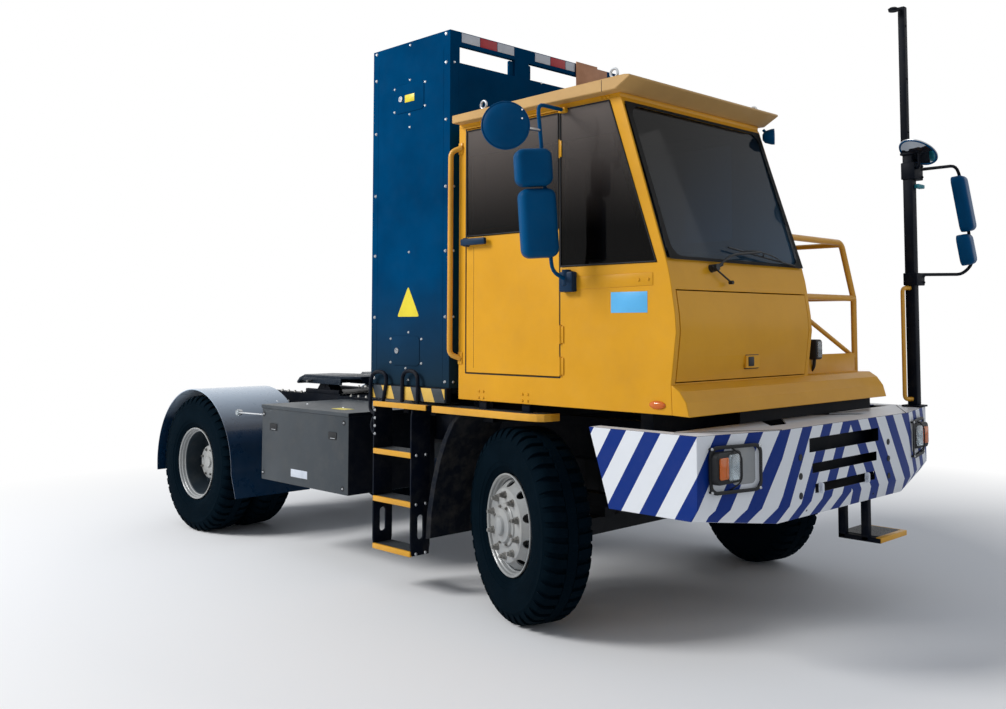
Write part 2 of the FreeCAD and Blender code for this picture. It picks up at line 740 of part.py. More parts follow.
def headlamps():
    """one lamp with its guard, built facing +X at the origin and turned onto the bumper's slanted corner"""
    pod = box("lamp_pod", ("0", "-lamp_width / 2", "-lamp_height / 2"),
              ("lamp_depth", "lamp_width / 2", "lamp_height / 2"))
    half_w, half_h, out = "guard_width / 2", "guard_height / 2", "guard_proud"
    route = [(out, f"-{half_w}", "0"), (out, f"-{half_w}", half_h), (out, half_w, half_h),
             (out, half_w, f"-{half_h}"), (out, f"-{half_w}", f"-{half_h}"), (out, f"-{half_w}", "0")]
    ring = tube("guard_ring", "guard_rod", route, "22")
    legs = [rod(f"guard_leg_{index}", ("0", y, z), out, "guard_rod", "x")
            for index, (y, z) in enumerate(
                [(f"{s}({half_w} - 40)", f"{t}{half_h}") for s in ("-", "") for t in ("-", "")])]
    right = join("lamp_right", pod, ring, *legs)
    slant = "bumper_half - bumper_flat_y"
    angle = math.degrees(math.atan2(number("bumper_fore - bumper_corner_fore"), number(slant)))
    right = several("right_headlamp", right)
    right.Placement = FreeCAD.Placement(FreeCAD.Vector(), FreeCAD.Rotation(FreeCAD.Vector(0, 0, 1), -angle))
    face_x = f"axle_x + bumper_fore - (lamp_y - bumper_flat_y) * (bumper_fore - bumper_corner_fore) / ({slant})"
    put(right, (face_x, "-lamp_y", "lamp_z"))
    node("headlamps", pair("headlamps", right))


def front_step():
    x = "axle_x + step_x"
    tubes = [tube(f"step_leg_{index}", "step_tube / 2", [
        (x, y, "bumper_bottom + 100"), (x, y, "step_z - 20"), (f"{x} + 90", y, "step_z - 20")], "40")
        for index, y in enumerate(("step_y", "step_y + 300"))]
    tread = box("front_tread", (f"{x} - 20", "step_y - 20", "step_z - 14"),
                (f"{x} + 200", "step_y + 430", "step_z + 14"))
    hanger = box("step_hanger", (f"{x} - 30", "step_y - 30", "bumper_bottom + 90"),
                 ("axle_x + bumper_fore - bumper_wall", "step_y + 330", "bumper_bottom + 120"))
    node("front_step", join("front_step", *tubes, tread, hanger))


# ------------------------------------------------------------------ mudguards


def mudguards():
    x, z = "axle_x - wheelbase", "fender_z"
    outer = rod("fender_outside", (x, "-fender_outer", z), "fender_outer - fender_inner",
                "fender_radius", "y")
    inner = rod("fender_inside", (x, "-fender_outer - 10", z), "fender_outer - fender_inner + 20",
                "fender_radius - fender_wall", "y")
    below = [box(f"fender_below_{index}", (f"{x} + ({aft})", "-fender_outer - 10", "-200"),
                 (f"{x} + ({fore})", "-fender_inner + 10", low))
             for index, (aft, fore, low) in enumerate(((-800, 0, "fender_low"), (-1, 800, "fender_z")))]
    arch = cut("fender_arch", outer, inner, *below)
    flap = prism("fender_flap", "xz", [
        (f"{x} + fender_radius - fender_wall", z), (f"{x} + fender_radius", z), ("axle_x - flap_aft",
                                                                                 "flap_low"),
        ("axle_x - flap_aft - fender_wall", "flap_low")], "-fender_outer", "-fender_inner")
    stays = [rod(f"fender_stay_{index}", (f"{x} + ({at})", "-fender_inner - 30", "fender_stay_z"),
                 "fender_inner + 30 - frame_width / 2", "18", "y") for index, at in enumerate((-440, 440))]
    node("rear_fenders", pair("rear_fenders", join("rear_fender", arch, flap, *stays)))
    guard = prism("front_guard", "xz", [
        ("axle_x - 500", "1110"), ("axle_x - 565", "1030"), ("axle_x - 690", "800"), ("axle_x - 765", "600"),
        ("axle_x - 790", "505"), ("axle_x - 798", "505"), ("axle_x - 775", "600"), ("axle_x - 700", "802"),
        ("axle_x - 575", "1034"), ("axle_x - 508", "1118")], "-1200", "-guard_inner")
    arm = rod("guard_arm", ("axle_x - 628", "-guard_inner - 60", "frame_guard_z"),
              "guard_inner + 60 - frame_width / 2", "16", "y")
    foot = box("guard_foot", ("axle_x - 650", "-guard_inner - 60", "frame_guard_z - 20"),
               ("axle_x - 615", "-guard_inner - 20", "frame_guard_z + 16"))
    node("front_mudguards", pair("front_mudguards", join("front_mudguard", guard, arm, foot)))


# ------------------------------------------------------------------ battery tower and side boxes


def tower():
    aft, fore, half = "axle_x - tower_aft", "axle_x + tower_fore", "tower_half"
    outside = box("tower_outside", (aft, f"-{half}", "tower_bottom"), (fore, half, "tower_top"))
    inside = box("tower_inside", (f"{aft} + tower_wall", f"-{half} + tower_wall",
                                  "tower_bottom + tower_wall"),
                 (f"{fore} - tower_wall", f"{half} - tower_wall", "tower_deck - tower_wall"))
    well = box("tower_well", (f"{aft} + tower_wall * 8", f"-{half} + tower_wall", "tower_deck"),
               (f"{fore} - tower_wall * 8", f"{half} - tower_wall", "tower_top + 10"))
    openings = []
    low, high = "tower_deck + 6", "tower_top - beam_height"
    for index, (start, end) in enumerate(zip(
            (f"-{half} + corner_post", "-tower_post_y + post_width", "tower_post_y"),
            ("-tower_post_y", "tower_post_y - post_width", f"{half} - corner_post"))):
        openings.append(box(f"tower_opening_{index}", (f"{aft} - 10", start, low), (f"{fore} + 10", end,
                                                                                    high)))
    beacon = box("beacon_plate", (fore, "-56", "tower_top - 165"), (f"{fore} + 6", "165", "tower_top + 12"))
    node("battery_tower", join("battery_tower", cut("tower_shell", outside, inside, well, *openings), beacon))
    node("battery_pack", box(
        "battery_pack", (f"{aft} + 60", f"-{half} + 60", "tower_bottom + tower_wall"),
        (f"{fore} - 60", f"{half} - 60", "tower_deck - 160")))
    beams = [box(f"tower_beam_{index}", (f"{aft} + {at}", "-900", "rail_top"),
                 (f"{aft} + {at} + base_beam", "900", "tower_bottom")) for index, at in enumerate((40, 664))]
    sill = box("tower_sill", (f"{aft} + 40", "-900", "tower_bottom - 60"),
               (f"{aft} + 664 + base_beam", "900", "tower_bottom"))
    kick = box("kick_plate", (f"{aft} + 48", f"-{half} - 20", "1182"), (fore, f"-{half} + 20",
                                                                        "tower_bottom"))
    node("tower_base", several("tower_base", join("tower_beams", *beams, sill), kick,
                               mirrored("left_kick_plate", kick)))


def side_boxes():
    aft, fore, out = "axle_x - box_aft", "axle_x + box_fore", "box_outer"
    case = box("box_case", (aft, f"-{out}", "box_bottom"), (fore, "-box_inner", "box_top - box_lid"))
    lid = box("box_lid", (f"{aft} - box_lip", f"-{out} - box_lip", "box_top - box_lid"),
              (f"{fore} + box_lip", "-box_inner", "box_top"))
    brackets = [box(f"box_bracket_{index}", (f"{aft} + {at}", "-box_inner", "850"),
                    (f"{aft} + {at} + 60", "-frame_width / 2", "1040")) for index, at in enumerate((150,
                                                                                                    860))]
    node("side_boxes", pair("side_boxes", join("side_box", case, lid, *brackets)))


# ------------------------------------------------------------------ ladder, boards, cab rail


def ladder():
    aft, fore, out = "axle_x - ladder_aft", "axle_x + ladder_fore", "ladder_outer"
    pieces = []
    for index, x in enumerate((f"{aft}", f"{fore} - stringer")):
        plate = box(f"stringer_{index}", (x, f"-{out}", "ladder_bottom"),
                    (f"{x} + stringer", f"-{out} + ladder_depth", "tread_top - tread_depth"))
        hole = box(f"stringer_hole_{index}", (f"{x} - 10", f"-{out} + 50", "340"), (f"{x} + 20",
                                                                                    f"-{out} + 105", "488"))
        pieces.append(cut(f"holed_stringer_{index}", plate, hole))
    for index in range(1, 4):
        pieces.append(box(f"tread_{index}", (f"{aft}", f"-{out}",
                                             f"tread_top - {index} * tread_pitch - tread_depth"),
                          (f"{fore}", f"-{out} + ladder_depth", f"tread_top - {index} * tread_pitch")))
    pieces.append(box("landing", (aft, f"-{out}", "tread_top - tread_depth"),
                      ("axle_x - board_aft - 58", f"-{out} + 270", "tread_top")))
    for index, x in enumerate((f"{aft} + 60", f"{fore} - 60")):
        pieces.append(box(f"landing_beam_{index}", (x, f"-{out} + 200", "rail_top"),
                          (f"{x} + 50", "-frame_width / 2 + rail_flange", "tread_top - tread_depth")))
    hoop = [(f"{fore} - 150", f"-{out} + 12", "tread_top - 10"), (f"{fore} - 150", f"-{out} + 12", "1366"),
            (f"{fore} + 32", f"-{out} + 12", "1366"), (f"{fore} + 32", f"-{out} + 12", "tread_top - 10")]
    pieces.append(tube("hoop", "handle_radius", hoop, "40"))
    loop = [(f"{aft} + 150", f"-{out} + 12", "tread_top - 10"), (f"{aft} + 150", f"-{out} + 12", "1340"),
            (f"{aft} - 40", f"-{out} + 12", "1340"), (f"{aft} - 40", f"-{out} + 12", "1090"),
            (f"{aft} + 3", f"-{out} + 12", "1090")]
    pieces.append(tube("loop", "handle_radius", loop, "30"))
    node("access_ladder", join("access_ladder", *pieces))
    board = box("board", ("axle_x - board_aft", f"-{out}", "tread_top - tread_depth"),
                ("axle_x + board_fore", f"-{out} + board_depth", "tread_top"))
    hangers = [box(f"board_hanger_{index}", (f"axle_x + ({at})", f"-{out} + 70", "tread_top"),
                   (f"axle_x + ({at}) + 60", f"-{out} + 100", "cab_bottom")) for index,
                   at in enumerate((-345, 10))]
    node("step_board", join("step_board", board, *hangers))
    rail_x = "axle_x - 573"
    node("cab_handrail", tube("cab_handrail", "rail_tube", [
        ("axle_x - 492", "cab_right", "2698"), ("axle_x - 492", "cab_right - 62", "2698"),
        (rail_x, "cab_right - 62", "2640"), (rail_x, "cab_right - 62", "1500"),
        ("axle_x - 492", "cab_right - 62", "1446"), ("axle_x - 492", "cab_right", "1446")], "30"))


# ------------------------------------------------------------------ cab


def nose(shrink):
    """the front of the cab in side view from sill to windscreen foot, moved back by shrink"""
    return [(f"axle_x + {x} - ({shrink})", z) for x, z in (
        (1035, "hood_bottom - 6"), (1053, 1495), (1068, 1620), (1062, 1704), (1044, 1821), (1030, 1900),
        ("nose_top_x", "nose_top_z"))]


def cab():
    aft, right, left, wall = "axle_x - cab_aft", "cab_right", "cab_left", "cab_wall"
    shell = prism("cab_outside", "xz", [
        (aft, "cab_bottom"), ("axle_x + 1040", "cab_bottom"), *nose("0"),
        ("axle_x + screen_top_x", "screen_top_z"), ("axle_x + screen_top_x - 12", "eaves"), (aft, "eaves"),
    ], right, left)
    room = prism("cab_room", "xz", [
        (f"{aft} + {wall}", f"cab_bottom + {wall}"), ("axle_x + firewall_x - 20", f"cab_bottom + {wall}"),
        ("axle_x + firewall_x - 20", "cowl_z"), ("axle_x + nose_top_x - 70", "nose_top_z - 40"),
        ("axle_x + screen_top_x - 50", "eaves + 10"), (f"{aft} + {wall}", "eaves + 10"),
    ], f"{right} + {wall}", f"{left} - {wall}")
    bay = prism("nose_bay", "xz", [
        ("axle_x + firewall_x", "hood_bottom"), ("axle_x + 1200", "hood_bottom"), ("axle_x + 1200",
                                                                                   "hood_top"),
        ("axle_x + firewall_x", "hood_top")], f"{right} + hood_edge", f"{left} - hood_edge")
    door_hole = box("door_hole", ("axle_x - door_aft", f"{right} - 10", "door_bottom"),
                    ("axle_x + door_fore", f"{right} + {wall} + 10", "door_top"))
    quarter = prism("quarter_hole", "xz", [
        ("axle_x + door_fore + 34", "quarter_z + 40"), ("axle_x + quarter_fore - 68", "quarter_z + 40"),
        ("axle_x + quarter_top_fore - 38", "door_top - 40"), ("axle_x + door_fore + 34", "door_top - 40"),
    ], f"{right} - 10", f"{right} + {wall} + 10")
    quarter_seat = prism("quarter_seat", "xz", quarter_outline("0"), f"{right} - 10", f"{right} + glass")
    screen_seat, screen_hole = screen("screen_seat", "20", "glass", "0"), screen("screen_hole", "30",
                                                                                 "90", "38")
    left_hole = box("left_hole", (f"{aft} + 120", f"{left} - {wall} - 10", "door_window_z"),
                    ("axle_x + 560", f"{left} + 10", "door_top - 60"))
    left_seat = box("left_seat", (f"{aft} + 90", f"{left} - glass", "door_window_z - 30"),
                    ("axle_x + 590", f"{left} + 10", "door_top - 30"))
    rear_hole = box("rear_hole", (f"{aft} - 10", f"{right} + 180", "door_window_z - 60"),
                    (f"{aft} + {wall} + 10", f"{left} - 180", "door_top - 60"))
    rear_seat = box("rear_seat", (f"{aft} - 10", f"{right} + 150", "door_window_z - 90"),
                    (f"{aft} + glass", f"{left} - 150", "door_top - 30"))
    node("cab_shell", cut("cab_shell", shell, room, bay, door_hole, quarter, quarter_seat, screen_seat,
                          screen_hole, left_hole, left_seat, rear_hole, rear_seat))
    node("cab_glass", several(
        "cab_glass",
        screen("windscreen", "0", "glass", "3"),
        prism("quarter_glass", "xz", quarter_outline("3"), right, f"{right} + glass"),
        box("left_glass", (f"{aft} + 93", f"{left} - glass", "door_window_z - 27"),
            ("axle_x + 587", left, "door_top - 33")),
        box("rear_glass", (aft, f"{right} + 153", "door_window_z - 87"),
            (f"{aft} + glass", f"{left} - 153", "door_top - 33"))))


def quarter_outline(inset):
    return [(f"axle_x + door_fore + 6 + {inset}", f"quarter_z + {inset}"),
            (f"axle_x + quarter_fore - {inset} * 1.6", f"quarter_z + {inset}"),
            (f"axle_x + quarter_top_fore - {inset} * 1.4", f"door_top - {inset}"),
            (f"axle_x + door_fore + 6 + {inset}", f"door_top - {inset}")]


def screen(name, front, back, trim):
    """a slab along the windscreen's slope, from front to back of the cab's skin; trim draws its border in"""
    low_z, high_z = f"(screen_low_z + {trim})", f"(screen_top_z - 18 - {trim})"
    slope = "(nose_top_x - screen_top_x) / (screen_top_z - nose_top_z)"
    low_x, high_x = (f"axle_x + nose_top_x - ({z} - nose_top_z) * {slope}" for z in (low_z, high_z))
    return prism(name, "xz", [
        (f"{low_x} + {front}", low_z), (f"{high_x} + {front}", high_z), (f"{high_x} - {back}", high_z),
        (f"{low_x} - {back}", low_z)], f"cab_right + 12 + {trim}", f"cab_left - 12 - {trim}")


def cab_roof():
    side = "roof_half_proud"
    node("cab_roof", prism("cab_roof", "xz", [
        ("axle_x - cab_aft - 8", "eaves"), ("axle_x + screen_top_x + 8", "eaves"),
        ("axle_x + visor_x", "roof_peak_z - 24"), ("axle_x + visor_x - 6", "roof_peak_z - 8"),
        ("axle_x + roof_peak_x", "roof_peak_z"), ("axle_x - cab_aft - 8", "roof_peak_z - 32")],
        f"cab_right - {side}", f"cab_left + {side} - 20"))


def front_skirt():
    node("front_skirt", prism("front_skirt", "xz", [
        ("axle_x + 1040", "cab_bottom"), ("axle_x + 1142", "cab_bottom - 4"), ("axle_x + 1122", "1279"),
        ("axle_x + 1084", "1329"), ("axle_x + 1035", "hood_bottom - 6")],
        "cab_right", "platform_left"))


def door():
    right, wall, gap = "cab_right", "cab_wall", "panel_gap"
    aft, fore = f"axle_x - door_aft + {gap}", f"axle_x + door_fore - {gap}"
    low, high = f"door_bottom + {gap}", f"door_top - {gap}"
    panel = box("door_panel", (aft, right, low), (fore, f"{right} + {wall}", high))
    hole = box("door_window_hole", (f"{aft} + window_frame", f"{right} - 10", "door_window_z + window_frame"),
               (f"{fore} - window_frame", f"{right} + {wall} + 10", f"{high} - window_frame"))
    seat = box("door_glass_seat", (f"{aft} + 6", f"{right} - 10", "door_window_z"),
               (f"{fore} - 4", f"{right} + glass", f"{high} - 4"))
    handle = box("door_handle", ("axle_x - 452", f"{right} - 34", "2122"), ("axle_x - 290",
                                                                            f"{right} - 16", "2152"))
    feet = [box(f"handle_foot_{index}", (f"axle_x - {at}", f"{right} - 18", "2126"),
                (f"axle_x - {at} + 22", right, "2148")) for index, at in enumerate((440, 330))]
    node("cab_door", join("cab_door", cut("door_leaf", panel, hole, seat), handle, *feet))
    node("door_window", box("door_window", (f"{aft} + 9", right, "door_window_z + 3"),
                            (f"{fore} - 7", f"{right} + glass", f"{high} - 7")))


def hood():
    skin = prism("hood_outer", "xz", nose("0") + nose("hood_wall")[::-1],
                 "cab_right + hood_edge + panel_gap", "cab_left - hood_edge - panel_gap")
    above = box("hood_above", ("axle_x + 900", "cab_right", "hood_top - panel_gap"),
                ("axle_x + 1200", "cab_left", "2050"))
    below = box("hood_below", ("axle_x + 900", "cab_right", "hood_bottom - 40"),
                ("axle_x + 1200", "cab_left", "hood_bottom + panel_gap"))
    latch = box("hood_latch", ("axle_x + 1030", "-575", "1424"), ("axle_x + 1060", "-440", "1490"))
    node("hood_flap", join("hood_flap", cut("hood_panel", skin, above, below), latch))


def cab_inside():
    floor, middle = "cab_bottom + cab_wall", "(cab_right + cab_left) / 2"
    seat_x = "axle_x - 205"
    pedestal = box("seat_pedestal", (f"{seat_x} - 170", f"{middle} - 180", floor),
                   (f"{seat_x} + 170", f"{middle} + 180", "seat_top - 110"))
    cushion = box("seat_cushion", (f"{seat_x} - 250", f"{middle} - 250", "seat_top - 110"),
                  (f"{seat_x} + 250", f"{middle} + 250", "seat_top"))
    back = prism("seat_back", "xz", [
        (f"{seat_x} - 250", "seat_top - 20"), (f"{seat_x} - 140", "seat_top - 20"),
        (f"{seat_x} - 180", "seat_top + 780"), (f"{seat_x} - 255", "seat_top + 780")],
        f"{middle} - 230", f"{middle} + 230")
    node("driver_seat", join("driver_seat", pedestal, cushion, back))
    dash = node("dashboard", prism("dashboard", "xz", [
        ("axle_x + firewall_x - 20", floor), ("axle_x + firewall_x - 20", "cowl_z"),
        ("axle_x + firewall_x - 60", "cowl_z + 20"), ("axle_x + firewall_x - 250", "cowl_z - 30"),
        ("axle_x + firewall_x - 290", "cowl_z - 130"), ("axle_x + firewall_x - 130", "cowl_z - 320"),
        ("axle_x + firewall_x - 130", floor)], "cab_right + cab_wall + 2", "cab_left - cab_wall - 2"))
    wheel_at = ("axle_x + firewall_x - 420", middle, "cowl_z + 10")
    ring = doc.addObject("Part::Torus", "steering_ring")
    bind(ring, Radius1="steering_ring", Radius2="15")
    column = rod("steering_column", ("0", "0", "-300"), "308", "28")
    spokes = [box("steering_spoke_0", ("-steering_ring", "-16", "-8"), ("steering_ring", "16", "8")),
              box("steering_spoke_1", ("-16", "-steering_ring", "-8"), ("16", "steering_ring", "8"))]
    wheel = several("steering_tilted", join("steering_parts", ring, column, *spokes))
    wheel.Placement = FreeCAD.Placement(FreeCAD.Vector(), FreeCAD.Rotation(FreeCAD.Vector(0, 1, 0), -38))
    node("steering_wheel", cut("steering_wheel", put(wheel, wheel_at), dash))


# ------------------------------------------------------------------ platform, pole, mirrors


def platform():
    aft, fore = "axle_x - platform_aft", "axle_x + platform_fore"
    inner, outer, top = "cab_left + 2", "platform_left", "platform_top"
    tray = box("platform_tray", (aft, inner, "cab_bottom"), (fore, outer, top))
    under = box("platform_under", (f"{aft} + sheet", f"{inner} + sheet", "cab_bottom - 10"),
                (f"{fore} - sheet", f"{outer} - sheet", f"{top} - sheet"))
    ribs = [box(f"platform_rib_{index}", (f"axle_x + ({x})", inner, "cab_bottom"),
                (f"axle_x + ({x}) + 60", outer, top)) for index, x in enumerate((-410, 770))]
    kick = box("platform_kick", (f"{fore} - 12", f"{inner} + 60", top), (f"{fore} - 4", f"{outer} - 20",
                                                                         f"{top} + 112"))
    shelf = box("platform_shelf", (fore, inner, f"{top} - 20"), ("axle_x + 1035", outer, f"{top} - 2"))
    node("left_platform", join("left_platform", cut("platform_pan", tray, under), *ribs, kick, shelf))
    radius, out = "railing_tube", "platform_left + 52"
    frames = []
    for index, x in enumerate((f"{fore} - 40", f"{aft} + 60")):
        frames.append(tube(f"railing_frame_{index}", radius, [
            (x, "cab_left", "2172"), (x, "railing_bend_y", "2172"), (x, out, "1820"),
            (x, out, "platform_top - 60")], "70"))
        frames.append(rod(f"railing_cross_{index}", (x, "cab_left", "1822"), f"{out} - cab_left", radius,
                          "y"))
        frames.append(box(f"railing_foot_{index}", (f"{x} - 24", outer, "platform_top - 70"),
                          (f"{x} + 24", f"{out} + 14", "platform_top - 20")))
    for index, (y, z) in enumerate((("railing_bend_y - 12", "2158"), (out, "1822"))):
        frames.append(rod(f"railing_side_{index}", (f"{aft} + 60", y, z),
                          "platform_aft + platform_fore - 100",
                          f"{radius} - 3", "x"))
    frames.append(tube("railing_brace", f"{radius} - 5", [
        (f"{fore} - 40", "cab_left + 6", "1782"), (f"{fore} - 40", out, "1442")], "0"))
    node("platform_railing", join("platform_railing", *frames))


def mirror_pole():
    x, y, half = "axle_x + bumper_fore - 183", "pole_y", "pole_width / 2"
    lower = box("pole_lower", (f"{x} - {half}", f"{y} - {half}", "bumper_top"), (f"{x} + {half}",
                                                                                 f"{y} + {half}",
                                                                           "pole_split"))
    upper = box("pole_upper", (f"{x} - mast_width / 2", f"{y} - mast_width / 2", "pole_split"),
                (f"{x} + mast_width / 2", f"{y} + mast_width / 2", "pole_top"))
    foot = box("pole_foot", (f"{x} - 60", f"{y} - 60", "bumper_top"), (f"{x} + 60", f"{y} + 60",
                                                                       "bumper_top + 12"))
    grip = tube("pole_grip", "13", [
        (x, f"{y} - {half}", "1888"), (f"{x} - 20", f"{y} - {half} - 62", "1888"),
        (f"{x} - 20", f"{y} - {half} - 62", "1180"), (x, f"{y} - {half}", "1180")], "30")
    node("mirror_pole", join("mirror_pole", lower, upper, foot, grip))


def mirror_head(name, place, turn, width, height, depth):
    head = box(name, (f"-{depth} / 2", f"-{width} / 2", f"-{height} / 2"),
               (f"{depth} / 2", f"{width} / 2", f"{height} / 2"))
    tilted = several(name + "_turned", head)
    tilted.Placement = FreeCAD.Placement(FreeCAD.Vector(), FreeCAD.Rotation(FreeCAD.Vector(0, 0, 1), turn))
    return put(tilted, place)


def round_mirror(name, place, turn, tilt, radius):
    dish = rod(name, ("0", "0", "-18"), "36", radius)
    tilted = several(name + "_turned", dish)
    tilted.Placement = FreeCAD.Placement(
        FreeCAD.Vector(), FreeCAD.Rotation(FreeCAD.Vector(0, 0, 1), turn).multiply(
            FreeCAD.Rotation(FreeCAD.Vector(0, 1, 0), tilt)))
    return put(tilted, place)


def mirrors():
    x, y = "axle_x + right_arm_x", "-right_arm_y"
    arm = tube("right_arm", "arm_radius", [
        (x, "cab_right - 10", "1880"), (x, y, "1880"), (x, y, "2800"), (f"{x} - 10", "cab_right - 10",
                                                                        "2812")],
        "60")
    foot = box("right_arm_foot", (f"{x} - 40", "cab_right - 40", "1828"), (f"{x} + 52", "cab_right", "1932"))
    head = box("right_arm_head", (f"{x} - 40", "cab_right - 40", "2795"), (f"{x} + 20", "cab_right", "2828"))
    main = mirror_head("right_main_mirror", (x, f"{y} - 34", "2190"), 14, "mirror_width", "mirror_height",
                       "mirror_depth")
    wide = mirror_head("right_wide_mirror", (x, f"{y} - 34", "2480"), 14, "mirror_width", "wide_height",
                       "mirror_depth")
    disc = round_mirror("right_round_mirror", (x, f"{y} - 230", "2700"), -45, 84, "round_radius")
    stub = rod("right_stub", (x, f"{y} - 230", "2700"), "230", "9", "y")
    node("right_mirrors", join("right_mirrors", arm, foot, head, main, wide, disc, stub))
    pole_x, pole_y, half = "axle_x + bumper_fore - 183", "pole_y", "pole_width / 2"
    far_x, far_y = f"{pole_x} + 205", "pole_y + 440"
    arm = tube("left_arm", "arm_radius", [
        (f"{pole_x} + {half}", f"{pole_y} + {half}", "2640"), (f"{pole_x} + 160", f"{pole_y} + 340", "2690"),
        (far_x, far_y, "2640"), (far_x, far_y, "2050"), (f"{pole_x} + 160", f"{pole_y} + 340", "1955"),
        (f"{pole_x} + {half}", f"{pole_y} + {half}", "1950")], "55")
    clamp = box("left_clamp", (f"{pole_x} - {half} - 12", f"{pole_y} - {half} - 12", "1904"),
                (f"{pole_x} + {half} + 24", f"{pole_y} + {half} + 24", "1980"))
    upper_clamp = box("left_upper_clamp", (f"{pole_x} - {half} - 8", f"{pole_y} - {half} - 8", "2600"),
                      (f"{pole_x} + {half} + 16", f"{pole_y} + {half} + 16", "2690"))
    pole_gap = box("left_clamp_hole", (f"{pole_x} - {half}", f"{pole_y} - {half}", "1800"),
                   (f"{pole_x} + {half}", f"{pole_y} + {half}", "2760"))
    main = mirror_head("left_main_mirror", (far_x, far_y, "2440"), -20, "mirror_width", "mirror_height",
                       "mirror_depth")
    wide = mirror_head("left_wide_mirror", (far_x, far_y, "2140"), -20, "mirror_width", "wide_height",
                       "mirror_depth")
    disc_x, disc_y = f"{pole_x} + 125", f"{pole_y} - 95"
    disc = round_mirror("left_round_mirror", (disc_x, disc_y, "2758"), 13, 37, "round_radius")
    stub = tube("left_stub", "9", [
        (f"{pole_x} + {half} - 4", f"{pole_y} - 20", "2650"), (disc_x, disc_y, "2650"),
        (disc_x, disc_y, "2756")], "25")
    pieces = cut("left_mirror_parts", join("left_mirror_blank", arm, clamp, upper_clamp, stub), pole_gap)
    node("left_mirrors", join("left_mirrors", pieces, main, wide, disc))


# ------------------------------------------------------------------ fifth wheel and tail


def fifth_wheel():
    x, top = "(axle_x - coupling_aft)", "coupling_top"
    fore, shoulder = f"{x} + coupling_length", f"{x} - 380"
    plate = box("coupling_plate", (shoulder, "-coupling_half", f"{top} - plate"), (fore, "coupling_half",
                                                                                   top))
    horns = pair("horns", prism("horn", "xz", [
        (f"{shoulder} + 1", top), ("axle_x - horn_aft", "pivot_z"), ("axle_x - horn_aft", "pivot_z - plate"),
        (f"{shoulder} + 1", f"{top} - plate")], "-horn_outer", "-horn_inner"))
    throat = prism("throat", "xy", [
        (f"{x}", "-60"), (f"{x}", "60"), (f"{shoulder} - 10", "horn_inner + 4"), (f"{shoulder} - 10",
                                                                                  "-horn_inner - 4")],
        f"{top} - plate - 10", f"{top} + 10")
    eye = rod("throat_eye", (x, "0", f"{top} - plate - 10"), "plate + 20", "60")
    jaw = box("jaw", (f"{x} - 90", "-110", f"{top} - plate - jaw_depth"), (f"{x} + 90", "110",
                                                                           f"{top} - plate"))
    jaw_bore = rod("jaw_bore", (x, "0", f"{top} - plate - jaw_depth - 10"), "jaw_depth + 30", "jaw_radius")
    rims = [box("coupling_front_rim", (f"{fore} - plate", "-coupling_half", f"{top} - 70"), (fore,
                                                                                             "coupling_half", top))]
    rims += [box(f"coupling_rim_{index}", (shoulder, low, f"{top} - 70"), (fore, high, top))
             for index, (low, high) in enumerate((("-coupling_half", "-coupling_half + plate"),
                                                  ("coupling_half - plate", "coupling_half")))]
    trunnion = cut("trunnion", box(
        "trunnion_block", (f"{x} - 60", "-380", "pivot_z - 32"), (f"{x} + 60", "-330", f"{top} - plate")),
        rod("trunnion_bore", (x, "-400", "pivot_z"), "90", "pivot_radius + running_gap", "y"))
    body = cut("coupling_top_plate", join("coupling_blank", plate, horns, *rims), throat, eye)
    node("fifth_wheel_plate", join("fifth_wheel_plate", body, cut("bored_jaw", jaw, jaw_bore), trunnion,
                                   mirrored("left_trunnion", trunnion)))
    base = box("coupling_base", (f"{x} - 260", "-frame_width / 2", "rail_top"), (f"{x} + 260",
                                                                                 "frame_width / 2",
                                                                            "rail_top + 12"))
    cheeks = [prism(f"cheek_{index}", "xz", [
        (f"{x} - 120", "rail_top + 12"), (f"{x} + 120", "rail_top + 12"), (f"{x} + 40", "pivot_z + 34"),
        (f"{x} - 40", "pivot_z + 34")], low, high)
        for index, (low, high) in enumerate((("-410", "-388"), ("-322", "-300"), ("300", "322"), ("388",
                                                                                                  "410")))]
    pins = [rod(f"trunnion_pin_{index}", (x, start, "pivot_z"), "116", "pivot_radius", "y")
            for index, start in enumerate(("-413", "297"))]
    node("fifth_wheel_mount", join("fifth_wheel_mount", base, *cheeks, *pins))


def tail_lamps():
    aft = "axle_x - frame_aft"
    bar = box("tail_bar", (f"{aft} - 30", "-1000", "rail_top - 170"), (aft, "1000", "rail_top - 90"))
    lamps = [box(f"tail_lamp_{index}", (f"{aft} - 60", low, "rail_top - 190"), (f"{aft} - 30", high,
                                                                                "rail_top - 80"))
             for index, (low, high) in enumerate((("-980", "-640"), ("640", "980")))]
    node("tail_lamps", join("tail_lamps", bar, *lamps))


def write_parts():
    os.makedirs("parts", exist_ok=True)
    doc.recompute()
    for thing in doc.Objects:
        if "Invalid" in thing.State or "Error" in thing.State:
            raise RuntimeError(f"{thing.Label} failed: {thing.State}")
    for name, piece in NODES.items():
        shape = piece.Shape
        if shape.isNull() or not shape.isValid() or not shape.Solids or piece.Label != name:
            raise RuntimeError(f"{name} has no valid solid")
        shape.exportStep(f"parts/{name}.step")


def main():
    fill_sheet()
    chassis_frame()
    drive_line()
    front_axle()
    springs()
    rear_axle()
    front_wheels()
    tie_rod()
    rear_wheels()
    front_bumper()
    headlamps()
    front_step()
    mudguards()
    tower()
    side_boxes()
    ladder()
    cab()
    cab_roof()
    front_skirt()
    door()
    hood()
    cab_inside()
    platform()
    mirror_pole()
    mirrors()
    fifth_wheel()
    tail_lamps()
    write_parts()


main()
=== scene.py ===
import json
import math

import bmesh
import bpy
from mathutils import Matrix, Vector


